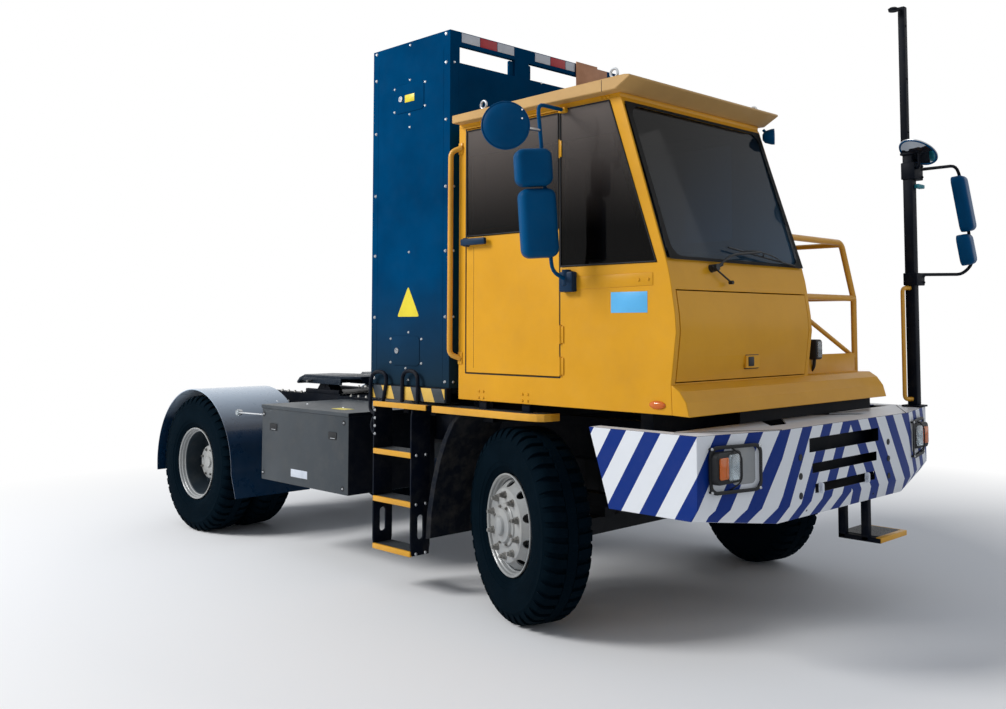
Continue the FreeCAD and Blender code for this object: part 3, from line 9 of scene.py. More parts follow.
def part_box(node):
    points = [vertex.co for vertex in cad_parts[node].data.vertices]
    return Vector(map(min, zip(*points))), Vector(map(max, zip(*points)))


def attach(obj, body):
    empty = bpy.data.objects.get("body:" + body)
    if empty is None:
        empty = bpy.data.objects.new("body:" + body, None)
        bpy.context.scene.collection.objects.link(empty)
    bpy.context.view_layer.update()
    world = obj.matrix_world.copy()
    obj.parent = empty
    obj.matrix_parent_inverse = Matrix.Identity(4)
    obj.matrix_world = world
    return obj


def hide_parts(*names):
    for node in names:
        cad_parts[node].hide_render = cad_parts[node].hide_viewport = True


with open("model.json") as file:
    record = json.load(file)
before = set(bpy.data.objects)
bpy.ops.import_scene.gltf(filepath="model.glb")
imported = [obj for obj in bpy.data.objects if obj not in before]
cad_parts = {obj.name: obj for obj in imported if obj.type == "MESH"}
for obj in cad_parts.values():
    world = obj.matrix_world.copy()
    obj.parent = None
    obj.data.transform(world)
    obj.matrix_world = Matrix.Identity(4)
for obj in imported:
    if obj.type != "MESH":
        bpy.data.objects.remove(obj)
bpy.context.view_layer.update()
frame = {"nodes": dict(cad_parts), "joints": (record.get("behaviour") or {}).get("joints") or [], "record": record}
nodes = frame["nodes"]
axleLow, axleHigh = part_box("front_axle")
axleX = (axleLow.x + axleHigh.x) / 2  # places along the tractor are counted from its front axle
print("stage: frame loaded, front axle at", round(axleX, 4))

view = {"place": (4.022, -5.199, 1.651), "tilt": 93.44, "turn": 44.86, "lens": 36.26, "sensor": 36,
        "shift": (-0.0229, -0.0899), "reach": 200}
lights = {
    "world": 0.42, "sky": (0.92, 0.98, 1.08, 1), "white": (1, 1, 1, 1),
    "key": {"place": (-5.0, -9.0, 8.0), "aim": (0, 0, 1.0), "size": 4, "power": 1150},
    "fill": {"place": (8.5, 5.0, 5.0), "aim": (0.5, 0, 1.2), "size": 6, "power": 60},
}
ground = {"size": 60, "grey": (0.86, 0.86, 0.86, 1), "middle": (0.3, 0.2, 0), "fade": (3.2, 6.5)}
made = {}  # finished materials by name


def hexColor(code):
    parts = [int(code[i:i + 2], 16) / 255 for i in (0, 2, 4)]
    return (*[p / 12.92 if p <= 0.04045 else ((p + 0.055) / 1.055) ** 2.4 for p in parts], 1)


def addNode(tree, kind, inputs=None, **settings):
    # each input is a number, a colour code or another node's output
    node = tree.nodes.new("ShaderNode" + kind)
    for name, value in settings.items():
        setattr(node, name, value)
    for socket, value in (inputs or {}).items():
        if isinstance(value, bpy.types.NodeSocket):
            tree.links.new(value, node.inputs[socket])
        else:
            node.inputs[socket].default_value = hexColor(value) if isinstance(value, str) else value
    return node


def calc(tree, operation, *terms):
    return addNode(tree, "Math", dict(enumerate(terms)), operation=operation).outputs[0]


def mixColor(tree, share, first, second):
    return addNode(tree, "Mix", {0: share, 6: first, 7: second}, data_type="RGBA").outputs[2]


def mixShader(tree, share, first, second):
    return addNode(tree, "MixShader", {0: share, 1: first.outputs[0], 2: second.outputs[0]}).outputs[0]


def fade(tree, value, start, end, low=0.0, high=1.0):
    ends = {"From Min": start, "From Max": end, "To Min": low, "To Max": high}
    return addNode(tree, "MapRange", {"Value": value, **ends}).outputs[0]


def noise(tree, spot, scale, detail, rough=0.5):
    return addNode(tree, "TexNoise", {"Vector": spot, "Scale": scale, "Detail": detail, "Roughness": rough}).outputs[0]


def bump(tree, strength, distance, height):
    return addNode(tree, "Bump", {"Strength": strength, "Distance": distance, "Height": height}).outputs[0]


def split(tree, vector):
    return addNode(tree, "SeparateXYZ", {0: vector}).outputs


def newMaterial(name):
    # an empty tree, and the place on the part that its patterns are drawn from
    material = bpy.data.materials.new(name)
    material.use_nodes = True
    tree = material.node_tree
    tree.nodes.clear()
    made[name] = material
    return tree, addNode(tree, "TexCoord").outputs["Object"]


def finishMaterial(tree, inputs):
    shader = addNode(tree, "BsdfPrincipled", inputs)
    addNode(tree, "OutputMaterial", {"Surface": shader.outputs[0]})


def placeObject(name, data):
    thing = bpy.data.objects.new(name, data)
    bpy.context.scene.collection.objects.link(thing)
    return thing


def makeCamera():
    data = bpy.data.cameras.new("camera")
    data.lens, data.sensor_width, data.clip_end = view["lens"], view["sensor"], view["reach"]
    data.shift_x, data.shift_y = view["shift"]
    camera = placeObject("camera", data)
    camera.location = (view["place"][0] + axleX, *view["place"][1:])
    camera.rotation_euler = (math.radians(view["tilt"]), 0, math.radians(view["turn"]))
    bpy.context.scene.camera = camera


def makeLights():
    world = bpy.data.worlds.new("studio")
    bpy.context.scene.world = world
    world.use_nodes = True
    tree = world.node_tree
    tree.nodes.clear()
    path = addNode(tree, "LightPath").outputs
    soft = addNode(tree, "Background", {"Color": lights["sky"], "Strength": lights["world"]})
    white = addNode(tree, "Background", {"Color": lights["white"], "Strength": 1})
    direct = calc(tree, "MAXIMUM", path["Is Camera Ray"], path["Is Glossy Ray"])
    straight = calc(tree, "MAXIMUM", direct, path["Is Transmission Ray"])
    addNode(tree, "OutputWorld", {"Surface": mixShader(tree, straight, soft, white)})
    for name in ("key", "fill"):
        lamp = lights[name]
        data = bpy.data.lights.new(name, "AREA")
        data.shape, data.size, data.energy = "SQUARE", lamp["size"], lamp["power"]
        light = placeObject(name, data)
        light.location = lamp["place"]
        aim = Vector(lamp["aim"]) - Vector(lamp["place"])
        light.rotation_euler = aim.to_track_quat("-Z", "Y").to_euler()


def makeFloor():
    mesh = bpy.data.meshes.new("floor")
    shape = bmesh.new()
    bmesh.ops.create_grid(shape, x_segments=1, y_segments=1, size=ground["size"])
    shape.to_mesh(mesh)
    shape.free()
    floor = placeObject("floor", mesh)
    tree = newMaterial("studioFloor")[0]
    away = addNode(tree, "VectorMath", {0: addNode(tree, "NewGeometry").outputs["Position"], 1: ground["middle"]},
                   operation="DISTANCE").outputs["Value"]
    seen = addNode(tree, "LightPath").outputs["Is Camera Ray"]
    far = calc(tree, "MULTIPLY", fade(tree, away, *ground["fade"]), seen)
    matt = addNode(tree, "BsdfDiffuse", {"Color": ground["grey"]})
    white = addNode(tree, "Emission", {"Color": lights["white"], "Strength": 1})
    addNode(tree, "OutputMaterial", {"Surface": mixShader(tree, far, matt, white)})
    mesh.materials.append(made["studioFloor"])


makeCamera()
makeLights()
makeFloor()
bpy.context.scene.view_settings.view_transform = "Standard"
print("stage: camera, lights and floor")

# enamel, sprayed: even colour under a clear gloss, fine orange peel, a little road dust in soft clouds
enamelKeys = ("main", "worn", "rough", "gloss", "coat", "dust", "peel")
enamels = {
    "cabEnamel": ("DEA024", "D19520", 0.3, 0.12, 0.06, 0.05, 0.02),
    # the roof's enamel: a duller, browner copy of the cab's yellow, partly dust and partly painted shade
    "roofEnamel": ("C9A064", "BB935A", 0.36, 0.12, 0.04, 0.08, 0.02),
    "towerEnamel": ("02406A", "023357", 0.3, 0.0, 0.0, 0.01, 0.03),
    "boxEnamel": ("41474C", "363C41", 0.42, 0.2, 0.05, 0.1, 0.01),
    "chassisEnamel": ("050C18", "040912", 0.46, 0.08, 0.0, 0.05, 0.01),
    "fenderEnamel": ("082A46", "07223A", 0.24, 0.5, 0.4, 0.03, 0.02),
    "railEnamel": ("DDA02E", "CB8F27", 0.32, 0.3, 0.2, 0.04, 0.01),
    "whiteEnamel": ("E4E9F1", "D3D9E3", 0.32, 0.1, 0.03, 0.04, 0.015),
    "wheelEnamel": ("A6A6A2", "7E8388", 0.3, 0.4, 0.2, 0.2, 0.01),
    # the rims' own paint darkened, painted shade for the inside of their wells and the rear discs
    "primerEnamel": ("2B353D", "232C33", 0.45, 0.2, 0.0, 0.1, 0.01),
    "muddyEnamel": ("07101C", "050A14", 0.5, 0.1, 0.0, 0.16, 0.1),
    "mirrorEnamel": ("024C7A", "023E66", 0.36, 0.04, 0.0, 0.02, 0.03),
    "handleEnamel": ("14304A", "102840", 0.36, 0.1, 0.0, 0.04, 0.02),
    "stepEnamel": ("060F1E", "040A15", 0.5, 0.08, 0.0, 0.08, 0.02),
    "noseEnamel": ("E0A42A", "C88F22", 0.4, 0.3, 0.1, 0.1, 0.02),
}
# painted light on enamel by height: on the tower a darker colour lower down is painted shade, on the fenders a pale
# blue top is a painted highlight; its colour, and the heights at which it starts and is whole
paintedHeightLight = {"towerEnamel": ("202F39", 1.95, 1.25), "fenderEnamel": ("C4D6E8", 0.86, 1.22)}
dustColor = "8F8778"
# plain finishes: main and second colour, roughness, metal, size of the mottling in metres and its bump
finishKeys = ("main", "worn", "rough", "metal", "grain", "bump")
finishes = {
    "castIron": ("11161D", "0A0D12", 0.6, 0.1, 0.006, 0.25),
    "zincSteel": ("C3C6C9", "9C9FA3", 0.32, 0.9, 0.01, 0.03),
    "wornSteel": ("A09F9C", "5C5A56", 0.38, 0.8, 0.01, 0.05),
    "mouldedPlastic": ("191B1E", "131518", 0.52, 0, 0.0012, 0.12),
    "sealRubber": ("0E0F11", "151618", 0.62, 0, 0.003, 0.06),
    "dashPlastic": ("3A3D42", "303338", 0.6, 0, 0.0015, 0.2),
    "batteryCover": ("55595E", "474B50", 0.5, 0.3, 0.01, 0.05),
    "greasedSteel": ("0A1B2C", "15222D", 0.36, 0.3, 0.03, 0.2),
    "redTape": ("B51F2B", "A01823", 0.3, 0, 0.003, 0.1),
    "whiteTape": ("C9CFD8", "B7BEC8", 0.3, 0, 0.003, 0.1),
    "blueVinyl": ("5FB9EE", "57AEE2", 0.35, 0, 0.02, 0.02),
    "yellowVinyl": ("E6D233", "DAC62F", 0.35, 0, 0.02, 0.02),
    "bronzePlate": ("C08A66", "A87655", 0.5, 0.0, 0.02, 0.05),
    "tealPlastic": ("1F7F8C", "196D79", 0.4, 0, 0.002, 0.05),
    "mirrorSilver": ("D5DADF", "CDD2D8", 0.03, 1, 0.5, 0),
    "lampChrome": ("DADDE0", "C6C9CD", 0.12, 1, 0.02, 0.02),
}
# clear and coloured mouldings and panes: body colour, how much light goes through, roughness, bend of light
clearKeys = ("main", "through", "rough", "bend")
clears = {
    "tintedGlass": ("2A2724", 0.95, 0.02, 1.17),
    # the side panes' grey, half-clear colour is painted reflection at their top
    "sideGlass": ("857C77", 0.30, 0.02, 1.17),
    "clearLens": ("DDE6EA", 0.75, 0.06, 1.5),
    "amberLens": ("F07A12", 0.35, 0.1, 1.5),
    "redLens": ("B0121A", 0.3, 0.1, 1.5),
}
# painted reflection on the panes, changing with height: the colour and clearness at the lower end, the heights it fades
# between, and how those lean with x and y
paintedPaneReflections = {
    "tintedGlass": {"low": "4A6C88", "through": 0.55, "heights": (2.5, 1.0), "lean": 0.9, "across": 0.6},
    "sideGlass": {"low": "171412", "through": 0.85, "heights": (2.95, 2.15), "lean": 0.0, "across": 0.0},
}
# two-colour bands on enamel; lean is how far a band moves along for each metre up, pitch a pair's length
bands = {
    "bumper": {"pitch": 0.213, "share": 0.47, "shift": 0.048, "lean": 0.62, "flatHalf": 0.713, "corner": 1.22,
               "slant": 1.0278, "sideways": 0.8, "low": "0C2F7C", "high": "E3E6EA"},
    "chevron": {"pitch": 0.197, "share": 0.5, "lean": 0.45, "shift": 0.087, "low": "2B333A", "high": "D6AE4E"},
}
# tread and sidewall rubber, expanded steel's diamonds, and woven cloth with its threads' spacing in metres
rubber = {"main": "020D15", "dusty": "081721", "rough": 0.8, "grit": 260, "bump": (0.2, 0.004)}
meshLook = {"gap": "090B0E", "strand": "3C444B", "long": 0.04, "wide": 0.016, "rough": 0.5, "bump": (0.9, 0.004)}
cloth = {"main": "1E2227", "thread": "343A42", "scale": 333 / 6.2832 / 3.2, "rough": 0.9, "bump": (0.5, 0.002)}


def makeEnamel(name, row, painted=None):
    # painted is a material already begun: its tree, its coordinates and its colour
    look = dict(zip(enamelKeys, row))
    if painted:
        tree, spot, base = painted
    else:
        tree, spot = newMaterial(name)
        base = mixColor(tree, fade(tree, noise(tree, spot, 1.7, 6, 0.62), 0.35, 0.7), look["main"], look["worn"])
    grit = noise(tree, spot, 9, 8, 0.7)
    color = mixColor(tree, fade(tree, grit, 0.45, 0.8, 0, look["dust"]), base, dustColor)
    # the tower's enamel darkens lower down as painted shade, the fender's pales on its top as a painted highlight
    if name in paintedHeightLight:
        filmAndPaintedLight, paintedLightStart, grey = paintedHeightLight[name]
        color = mixColor(tree, fade(tree, split(tree, spot)["Z"], paintedLightStart, grey), color, filmAndPaintedLight)
    peel = noise(tree, spot, 160, 2)  # 6 mm
    finishMaterial(tree, {
        "Base Color": color, "Roughness": fade(tree, grit, 0.3, 0.75, look["rough"], look["rough"] + 0.12),
        "Normal": bump(tree, look["peel"], 0.01, peel), "Coat Weight": look["coat"], "Coat Roughness": 0.08,
        "Specular IOR Level": look["gloss"]})


def makeFinish(name, row):
    look = dict(zip(finishKeys, row))
    tree, spot = newMaterial(name)
    grain, cloud = noise(tree, spot, 1 / look["grain"], 4), noise(tree, spot, 6, 6, 0.65)
    finishMaterial(tree, {
        "Base Color": mixColor(tree, fade(tree, cloud, 0.35, 0.68), look["main"], look["worn"]),
        "Roughness": fade(tree, cloud, 0, 1, look["rough"] * 0.9, look["rough"] * 1.15),
        "Normal": bump(tree, look["bump"], look["grain"], grain), "Metallic": look["metal"],
        "Specular IOR Level": 0.3})


def makeClear(name, row):
    look = dict(zip(clearKeys, row))
    tree, spot = newMaterial(name)
    filmAndPaintedLight = noise(tree, spot, 3, 6, 0.7)
    inputs = {"Base Color": look["main"], "Transmission Weight": look["through"], "IOR": look["bend"],
              "Specular IOR Level": 0.5, "Roughness": fade(tree, filmAndPaintedLight, 0.4, 0.8, look["rough"], look["rough"] + 0.07)}
    if name in paintedPaneReflections:
        # painted reflection: colour and clearness change with height, leaning forwards on the windscreen; the
        # windscreen is dark at the top and goes paler blue and less clear lower down, the side panes are grey and less
        # clear at the top
        paneReflection, (x, y, z) = paintedPaneReflections[name], split(tree, spot)
        lean = paneReflection["lean"]
        ahead = calc(tree, "MULTIPLY_ADD", y, paneReflection["across"], x)
        slope = calc(tree, "MULTIPLY_ADD", ahead, -lean, z)
        lower = fade(tree, slope, *[height - lean * axleX for height in paneReflection["heights"]])
        inputs["Base Color"] = mixColor(tree, lower, look["main"], paneReflection["low"])
        inputs["Transmission Weight"] = fade(tree, lower, 0, 1, look["through"], paneReflection["through"])
    finishMaterial(tree, inputs)


def addBands(tree, look, z, along):
    # one where a pair's first colour lies, none where its second does
    leaning = calc(tree, "MULTIPLY_ADD", z, look["lean"], along)
    turns = calc(tree, "DIVIDE", calc(tree, "SUBTRACT", leaning, look["shift"]), look["pitch"])
    return calc(tree, "LESS_THAN", calc(tree, "FRACT", turns), look["share"])


def makeBands():
    # bands follow the bumper's outline: a path length from the middle, leaning with height, on upright faces alone
    look, (tree, spot) = bands["bumper"], newMaterial("stripedEnamel")
    x, y, z = split(tree, spot)
    across = calc(tree, "ABSOLUTE", y)
    flat = calc(tree, "MINIMUM", across, look["flatHalf"])
    slanted = calc(tree, "MAXIMUM", calc(tree, "SUBTRACT", across, look["flatHalf"]), 0)
    behind = calc(tree, "MAXIMUM", calc(tree, "SUBTRACT", look["corner"] + axleX, x), 0)
    path = calc(tree, "ADD", calc(tree, "MULTIPLY_ADD", slanted, look["slant"], flat), behind)
    level = calc(tree, "ABSOLUTE", split(tree, addNode(tree, "NewGeometry").outputs["True Normal"])["Z"])
    upright = calc(tree, "LESS_THAN", level, look["sideways"])
    painted = calc(tree, "MULTIPLY", addBands(tree, look, z, path), upright)
    color = mixColor(tree, painted, look["high"], look["low"])
    makeEnamel("stripedEnamel", enamels["whiteEnamel"], (tree, spot, color))
    look, (tree, spot) = bands["chevron"], newMaterial("chevronEnamel")
    x, y, z = split(tree, spot)
    color = mixColor(tree, addBands(tree, look, z, x), look["high"], look["low"])
    makeEnamel("chevronEnamel", enamels["noseEnamel"], (tree, spot, color))


def makeRubber():
    # vulcanised rubber: near black, dull, greyer in soft clouds of dust
    tree, spot = newMaterial("tyreRubber")
    dusty = fade(tree, noise(tree, spot, 5, 8, 0.7), 0.4, 0.75, 0, 0.5)
    finishMaterial(tree, {
        "Base Color": mixColor(tree, dusty, rubber["main"], rubber["dusty"]), "Roughness": rubber["rough"],
        "Specular IOR Level": 0.02, "Normal": bump(tree, *rubber["bump"], noise(tree, spot, rubber["grit"], 3))})


def makeMesh():
    # expanded steel: diamonds with strands bright with wear on top, the holes between them near black as painted shade
    tree, spot = newMaterial("expandedSteel")
    size = (1 / meshLook["long"], 1 / meshLook["wide"], 1)
    sized = addNode(tree, "Mapping", {"Vector": spot, "Scale": size}).outputs[0]
    turned = addNode(tree, "Mapping", {"Vector": sized, "Rotation": (0, 0, math.radians(45))}).outputs[0]
    strands = []
    for axis in "XY":
        part = calc(tree, "WRAP", split(tree, turned)[axis], 0.7071)
        strands.append(calc(tree, "ABSOLUTE", calc(tree, "SUBTRACT", part, 0.35355)))
    strand = fade(tree, calc(tree, "MAXIMUM", *strands), 0.2, 0.3)
    finishMaterial(tree, {
        "Base Color": mixColor(tree, strand, meshLook["gap"], meshLook["strand"]), "Roughness": meshLook["rough"],
        "Metallic": 0.2, "Normal": bump(tree, *meshLook["bump"], strand)})


def makeCloth():
    # woven seat cloth: dark grey plain weave
    tree, spot = newMaterial("seatCloth")
    waves = [addNode(tree, "TexWave", {"Vector": spot, "Scale": cloth["scale"], "Distortion": 0.4},
                     bands_direction=direction).outputs["Fac"] for direction in "XZ"]
    weave = calc(tree, "MAXIMUM", *waves)
    finishMaterial(tree, {
        "Base Color": mixColor(tree, weave, cloth["main"], cloth["thread"]), "Roughness": cloth["rough"],
        "Sheen Weight": 0.25, "Sheen Roughness": 0.5, "Normal": bump(tree, *cloth["bump"], weave)})


for table, make in ((enamels, makeEnamel), (finishes, makeFinish), (clears, makeClear)):
    for name, row in table.items():
        make(name, row)
makeBands()
makeRubber()
makeMesh()
makeCloth()
print("stage: finishes", len(made))


def at(x, y, z):
    return Vector((axleX + x, y, z))


def placed(point):
    # a plain triple is counted from the front axle, a Vector is a place already
    return point if isinstance(point, Vector) else at(*point)


def bodyOf(node):
    return next(body for body, members in frame["record"]["behaviour"]["bodies"].items() if node in members)


def addPiece(name, shape, material, body="chassis", smooth=40, bevel=0.0, replaces=()):
    mesh = bpy.data.meshes.new(name)
    shape.to_mesh(mesh)
    shape.free()
    piece = placeObject(name, mesh)
    for each in [material] if isinstance(material, str) else material:
        mesh.materials.append(made[each])
    mesh.shade_smooth()
    with bpy.context.temp_override(object=piece, active_object=piece, selected_objects=[piece],
                                   selected_editable_objects=[piece]):
        bpy.ops.object.shade_smooth_by_angle(angle=math.radians(smooth))
    if bevel:
        edges = piece.modifiers.new("edges", "BEVEL")
        edges.width, edges.segments, edges.limit_method = bevel, 2, "ANGLE"
        edges.angle_limit = math.radians(35)
    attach(piece, body)
    if replaces:
        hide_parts(*replaces)
    return piece


def makePiece(name, material, *parts, **settings):
    # one piece from rows, each a builder and its values
    shape = bmesh.new()
    for build, *values in parts:
        build(shape, *values)
    return addPiece(name, shape, material, **settings)


def softNode(node, material, bevel=0.003, patches=()):
    # the node's own mesh with rounded edges; a patch is a finish for the faces inside a box
    shape = bmesh.new()
    shape.from_mesh(nodes[node].data)
    bmesh.ops.remove_doubles(shape, verts=shape.verts, dist=0.00005)
    for index, patch in enumerate(patches):
        low, high = at(*patch[1]), at(*patch[2])
        for face in shape.faces:
            middle = face.calc_center_median()
            if all(low[i] <= middle[i] <= high[i] for i in range(3)):
                face.material_index = index + 1
    bmesh.ops.dissolve_limit(shape, angle_limit=math.radians(1), verts=shape.verts, edges=shape.edges,
                             delimit={"MATERIAL"})
    finishNames = [material] + [patch[0] for patch in patches]
    return addPiece(node + "_skin", shape, finishNames, bodyOf(node), bevel=bevel, replaces=[node])


def addPart(shape, part, place=None):
    if place is not None:
        bmesh.ops.transform(part, matrix=place, verts=part.verts)
    bmesh.ops.recalc_face_normals(part, faces=part.faces)
    holder = bpy.data.meshes.new("holder")
    part.to_mesh(holder)
    part.free()
    shape.from_mesh(holder)
    bpy.data.meshes.remove(holder)


def drawOut(part, faces, push):
    drawn = bmesh.ops.extrude_face_region(part, geom=faces)["geom"]
    bmesh.ops.translate(part, vec=push, verts=[each for each in drawn if isinstance(each, bmesh.types.BMVert)])


def roundOff(part, edges, width, segments=2):
    bmesh.ops.bevel(part, geom=edges, offset=width, segments=segments, profile=0.5, affect="EDGES", material=-1)


def addBox(shape, low, high, bevel=0.0, segments=2):
    ends = [sorted(pair) for pair in zip(placed(low), placed(high))]
    size, middle = [high - low for low, high in ends], Vector([(high + low) / 2 for low, high in ends])
    part = bmesh.new()
    bmesh.ops.create_cube(part, size=1, matrix=Matrix.Translation(middle) @ Matrix.Diagonal((*size, 1)))
    if bevel:
        roundOff(part, part.edges[:], bevel, segments)
    addPart(shape, part)


def spun(profile, steps, closed=False):
    # a profile of (across, radius) pairs turned round the Y axis
    part = bmesh.new()
    verts = [part.verts.new((radius, across, 0)) for across, radius in profile]
    pairs = list(zip(verts, verts[1:])) + ([(verts[-1], verts[0])] if closed else [])
    edges = [part.edges.new(pair) for pair in pairs]
    bmesh.ops.spin(part, geom=verts + edges, cent=(0, 0, 0), axis=(0, 1, 0), angle=math.tau, steps=steps,
                   use_merge=True)
    bmesh.ops.remove_doubles(part, verts=part.verts, dist=0.00001)
    return part


def addLathe(shape, profile, steps, place, closed=False):
    addPart(shape, spun(profile, steps, closed), place)


def addCone(shape, place, low, high, depth, sides):
    part = bmesh.new()
    bmesh.ops.create_cone(part, cap_ends=True, segments=sides, radius1=low, radius2=high, depth=depth)
    addPart(shape, part, place)


def turnTo(direction):
    return Vector(direction).to_track_quat("Z", "Y").to_matrix().to_4x4()


def addRod(shape, start, end, radius, sides=16, taper=1.0):
    start, end = placed(start), placed(end)
    place = Matrix.Translation((start + end) / 2) @ turnTo(end - start)
    addCone(shape, place, radius, radius * taper, (end - start).length, sides)


def addDome(shape, place, facing, radius, proud, sides=10):
    # a pan head: a short cone frustum, its base at place
    middle = placed(place) + Vector(facing).normalized() * proud / 2
    addCone(shape, Matrix.Translation(middle) @ turnTo(facing), radius, radius * 0.62, proud, sides)


def addSlab(shape, corners, push, place=None, bevel=0.0):
    # a flat outline given thickness along push
    part = bmesh.new()
    drawOut(part, [part.faces.new([part.verts.new(corner) for corner in corners])], push)
    bmesh.ops.recalc_face_normals(part, faces=part.faces)
    if bevel:
        roundOff(part, part.edges[:], bevel)
    addPart(shape, part, place)


def roundedOutline(width, height, radius, steps=5):
    # corners of a rounded rectangle in its own plane, anticlockwise
    outline = []
    for index, (side, up) in enumerate(((1, 1), (-1, 1), (-1, -1), (1, -1))):
        for step in range(steps + 1):
            angle = math.radians(90 * index + 90 * step / steps)
            outline.append((side * (width / 2 - radius) + radius * math.cos(angle),
                            up * (height / 2 - radius) + radius * math.sin(angle)))
    return outline


def addFrame(shape, outer, inner, thick, place, bevel=0.0):
    # a flat ring between two outlines of as many points, in the plane x = 0, given thickness forwards
    part, count = bmesh.new(), len(outer)
    rings = [[part.verts.new((0, u, v)) for u, v in outline] for outline in (outer, inner)]
    for step in range(count):
        after = (step + 1) % count
        part.faces.new((rings[0][step], rings[0][after], rings[1][after], rings[1][step]))
    drawOut(part, part.faces[:], (thick, 0, 0))
    bmesh.ops.recalc_face_normals(part, faces=part.faces)
    if bevel:
        roundOff(part, part.edges[:], bevel)
    addPart(shape, part, place)


def addTube(shape, route, radius, bend=0.03, sides=12):
    # a bent round bar: straight runs with a rounded turn at each inner point
    data = bpy.data.curves.new("bar", "CURVE")
    data.dimensions, data.bevel_depth, data.bevel_resolution, data.use_fill_caps = "3D", radius, sides // 4, True
    route = [placed(point) for point in route]
    points = [route[0]]
    for before, here, after in zip(route, route[1:], route[2:]):
        back, on = before - here, after - here
        reach = min(bend, back.length * 0.45, on.length * 0.45)
        start, end = here + back.normalized() * reach, here + on.normalized() * reach
        points += [start.lerp(here, t).lerp(here.lerp(end, t), t) for t in (0, 0.25, 0.5, 0.75, 1)]
    points.append(route[-1])
    line = data.splines.new("POLY")
    line.points.add(len(points) - 1)
    for point, place in zip(line.points, points):
        point.co = (*place, 1)
    bar = placeObject("bar", data)
    mesh = bpy.data.meshes.new_from_object(bar.evaluated_get(bpy.context.evaluated_depsgraph_get()))
    part = bmesh.new()
    part.from_mesh(mesh)
    bmesh.ops.remove_doubles(part, verts=part.verts, dist=0.00001)
    bpy.data.objects.remove(bar)
    bpy.data.curves.remove(data)
    bpy.data.meshes.remove(mesh)
    addPart(shape, part)

# every CAD piece keeps its place and size, and gets small rounded edges and its finish
carried = {
    "chassis_frame": ("chassisEnamel", 0.003), "drive_motor": ("castIron", 0.012), "prop_shaft": ("castIron", 0.004),
    "front_axle": ("castIron", 0.008), "rear_axle": ("castIron", 0.01), "leaf_springs": ("castIron", 0.004),
    "knuckle_right": ("castIron", 0.003), "knuckle_left": ("castIron", 0.003), "tie_rod": ("castIron", 0.003),
    "rear_fenders": ("fenderEnamel", 0.002),
    "tower_base": ("chassisEnamel", 0.004),
    "cab_shell": ("cabEnamel", 0.005), "cab_roof": ("roofEnamel", 0.008),
    "front_skirt": ("cabEnamel", 0.004), "cab_door": ("cabEnamel", 0.004), "hood_flap": ("cabEnamel", 0.004),
    "door_window": ("sideGlass", 0.001), "dashboard": ("dashPlastic", 0.015),
    "steering_wheel": ("mouldedPlastic", 0.004), "left_platform": ("cabEnamel", 0.003),
    "platform_railing": ("railEnamel", 0.001),
    "fifth_wheel_mount": ("chassisEnamel", 0.003),
    "tail_lamps": ("chassisEnamel", 0.004),
}
for node, (material, bevel) in carried.items():
    softNode(node, material, bevel)
softNode("cab_glass", "tintedGlass", 0.001, [("sideGlass", (0.28, -1.203, 1.9), (1.0, -1.19, 2.9))])
softNode("side_boxes", "boxEnamel", 0.006, [("chassisEnamel", (-1.64, -1.22, 0.50), (-1.60, 1.22, 1.07))])
print("stage: CAD pieces finished", len(carried))

tyreLook = {"half": 0.146, "radius": 0.5385, "lugs": 42, "lugLength": 0.047, "lugSkew": 0.014, "groove": 0.018}
wheelLook = {
    "boltCircle": 0.1675, "bolts": 10, "frontDisc": 0.138, "rearDisc": -0.156, "dual": 0.34, "hands": 10,
    "handRadius": 0.2275, "handSize": (0.026, 0.019), "wall": 0.010,
}


def wheelPlace(centre, outward):
    # a frame at the wheel's middle, its Y along the axle towards the outside
    outward, up = outward.normalized(), Vector((0, 0, 1))
    turn = Matrix((outward.cross(up), outward, up)).transposed().to_4x4()
    return Matrix.Translation(centre) @ turn


def addTyre(shape, place):
    half, radius, low = tyreLook["half"], tyreLook["radius"], tyreLook["radius"] - tyreLook["groove"]
    side = [(0.74, 0.284), (0.79, 0.297), (0.87, 0.312), (0.905, 0.322), (0.925, 0.324), (0.965, 0.348),
            (0.978, 0.349), (0.993, 0.374), (1.0, 0.408), (0.992, 0.436), (0.968, 0.460), (0.975, 0.463),
            (0.93, 0.482), (0.86, 0.499), (0.74, 0.511), (0.6, low), (0.21, low), (0.19, radius)]
    profile = [(-across * half, height) for across, height in side]
    profile += [(across * half, height) for across, height in reversed(side)]
    addLathe(shape, profile, 84, place, closed=True)
    for flip in (1, -1):
        outline = [(0.22, low - 0.006), (0.22, radius), (0.55, radius - 0.001), (0.68, radius - 0.004),
                   (0.78, radius - 0.012), (0.86, radius - 0.024), (0.925, radius - 0.042), (0.96, radius - 0.062),
                   (0.90, radius - 0.060), (0.70, radius - 0.032)]
        for index in range(tyreLook["lugs"]):
            turn = math.tau * (index + (0.5 if flip < 0 else 0)) / tyreLook["lugs"]
            part = bmesh.new()
            corners = [(across * tyreLook["lugSkew"] - tyreLook["lugLength"] / 2, flip * across * half, height)
                       for across, height in outline]
            lug = part.faces.new([part.verts.new(corner) for corner in corners])
            drawOut(part, [lug], (tyreLook["lugLength"], 0, 0))
            addPart(shape, part, place @ Matrix.Rotation(turn, 4, "Y"))


def addNuts(shape, place, across, circle, count, size, stud):
    # hexagon nuts on round washers, each with its stud's end standing out of it
    for index in range(count):
        turn = place @ Matrix.Rotation(math.tau * (index + 0.5) / count, 4, "Y")
        for radius, start, end, sides in ((size * 1.18, 0, 0.006, 20), (size, 0.006, 0.006 + size * 0.85, 6),
                                          (size * 0.6, 0.006 + size * 0.8, 0.006 + size * 0.85 + stud, 14)):
            spot = turn @ Matrix.Translation((circle, across + (start + end) / 2, 0))
            addCone(shape, spot @ Matrix.Rotation(math.radians(-90), 4, "X"), radius, radius * 0.94, end - start, sides)


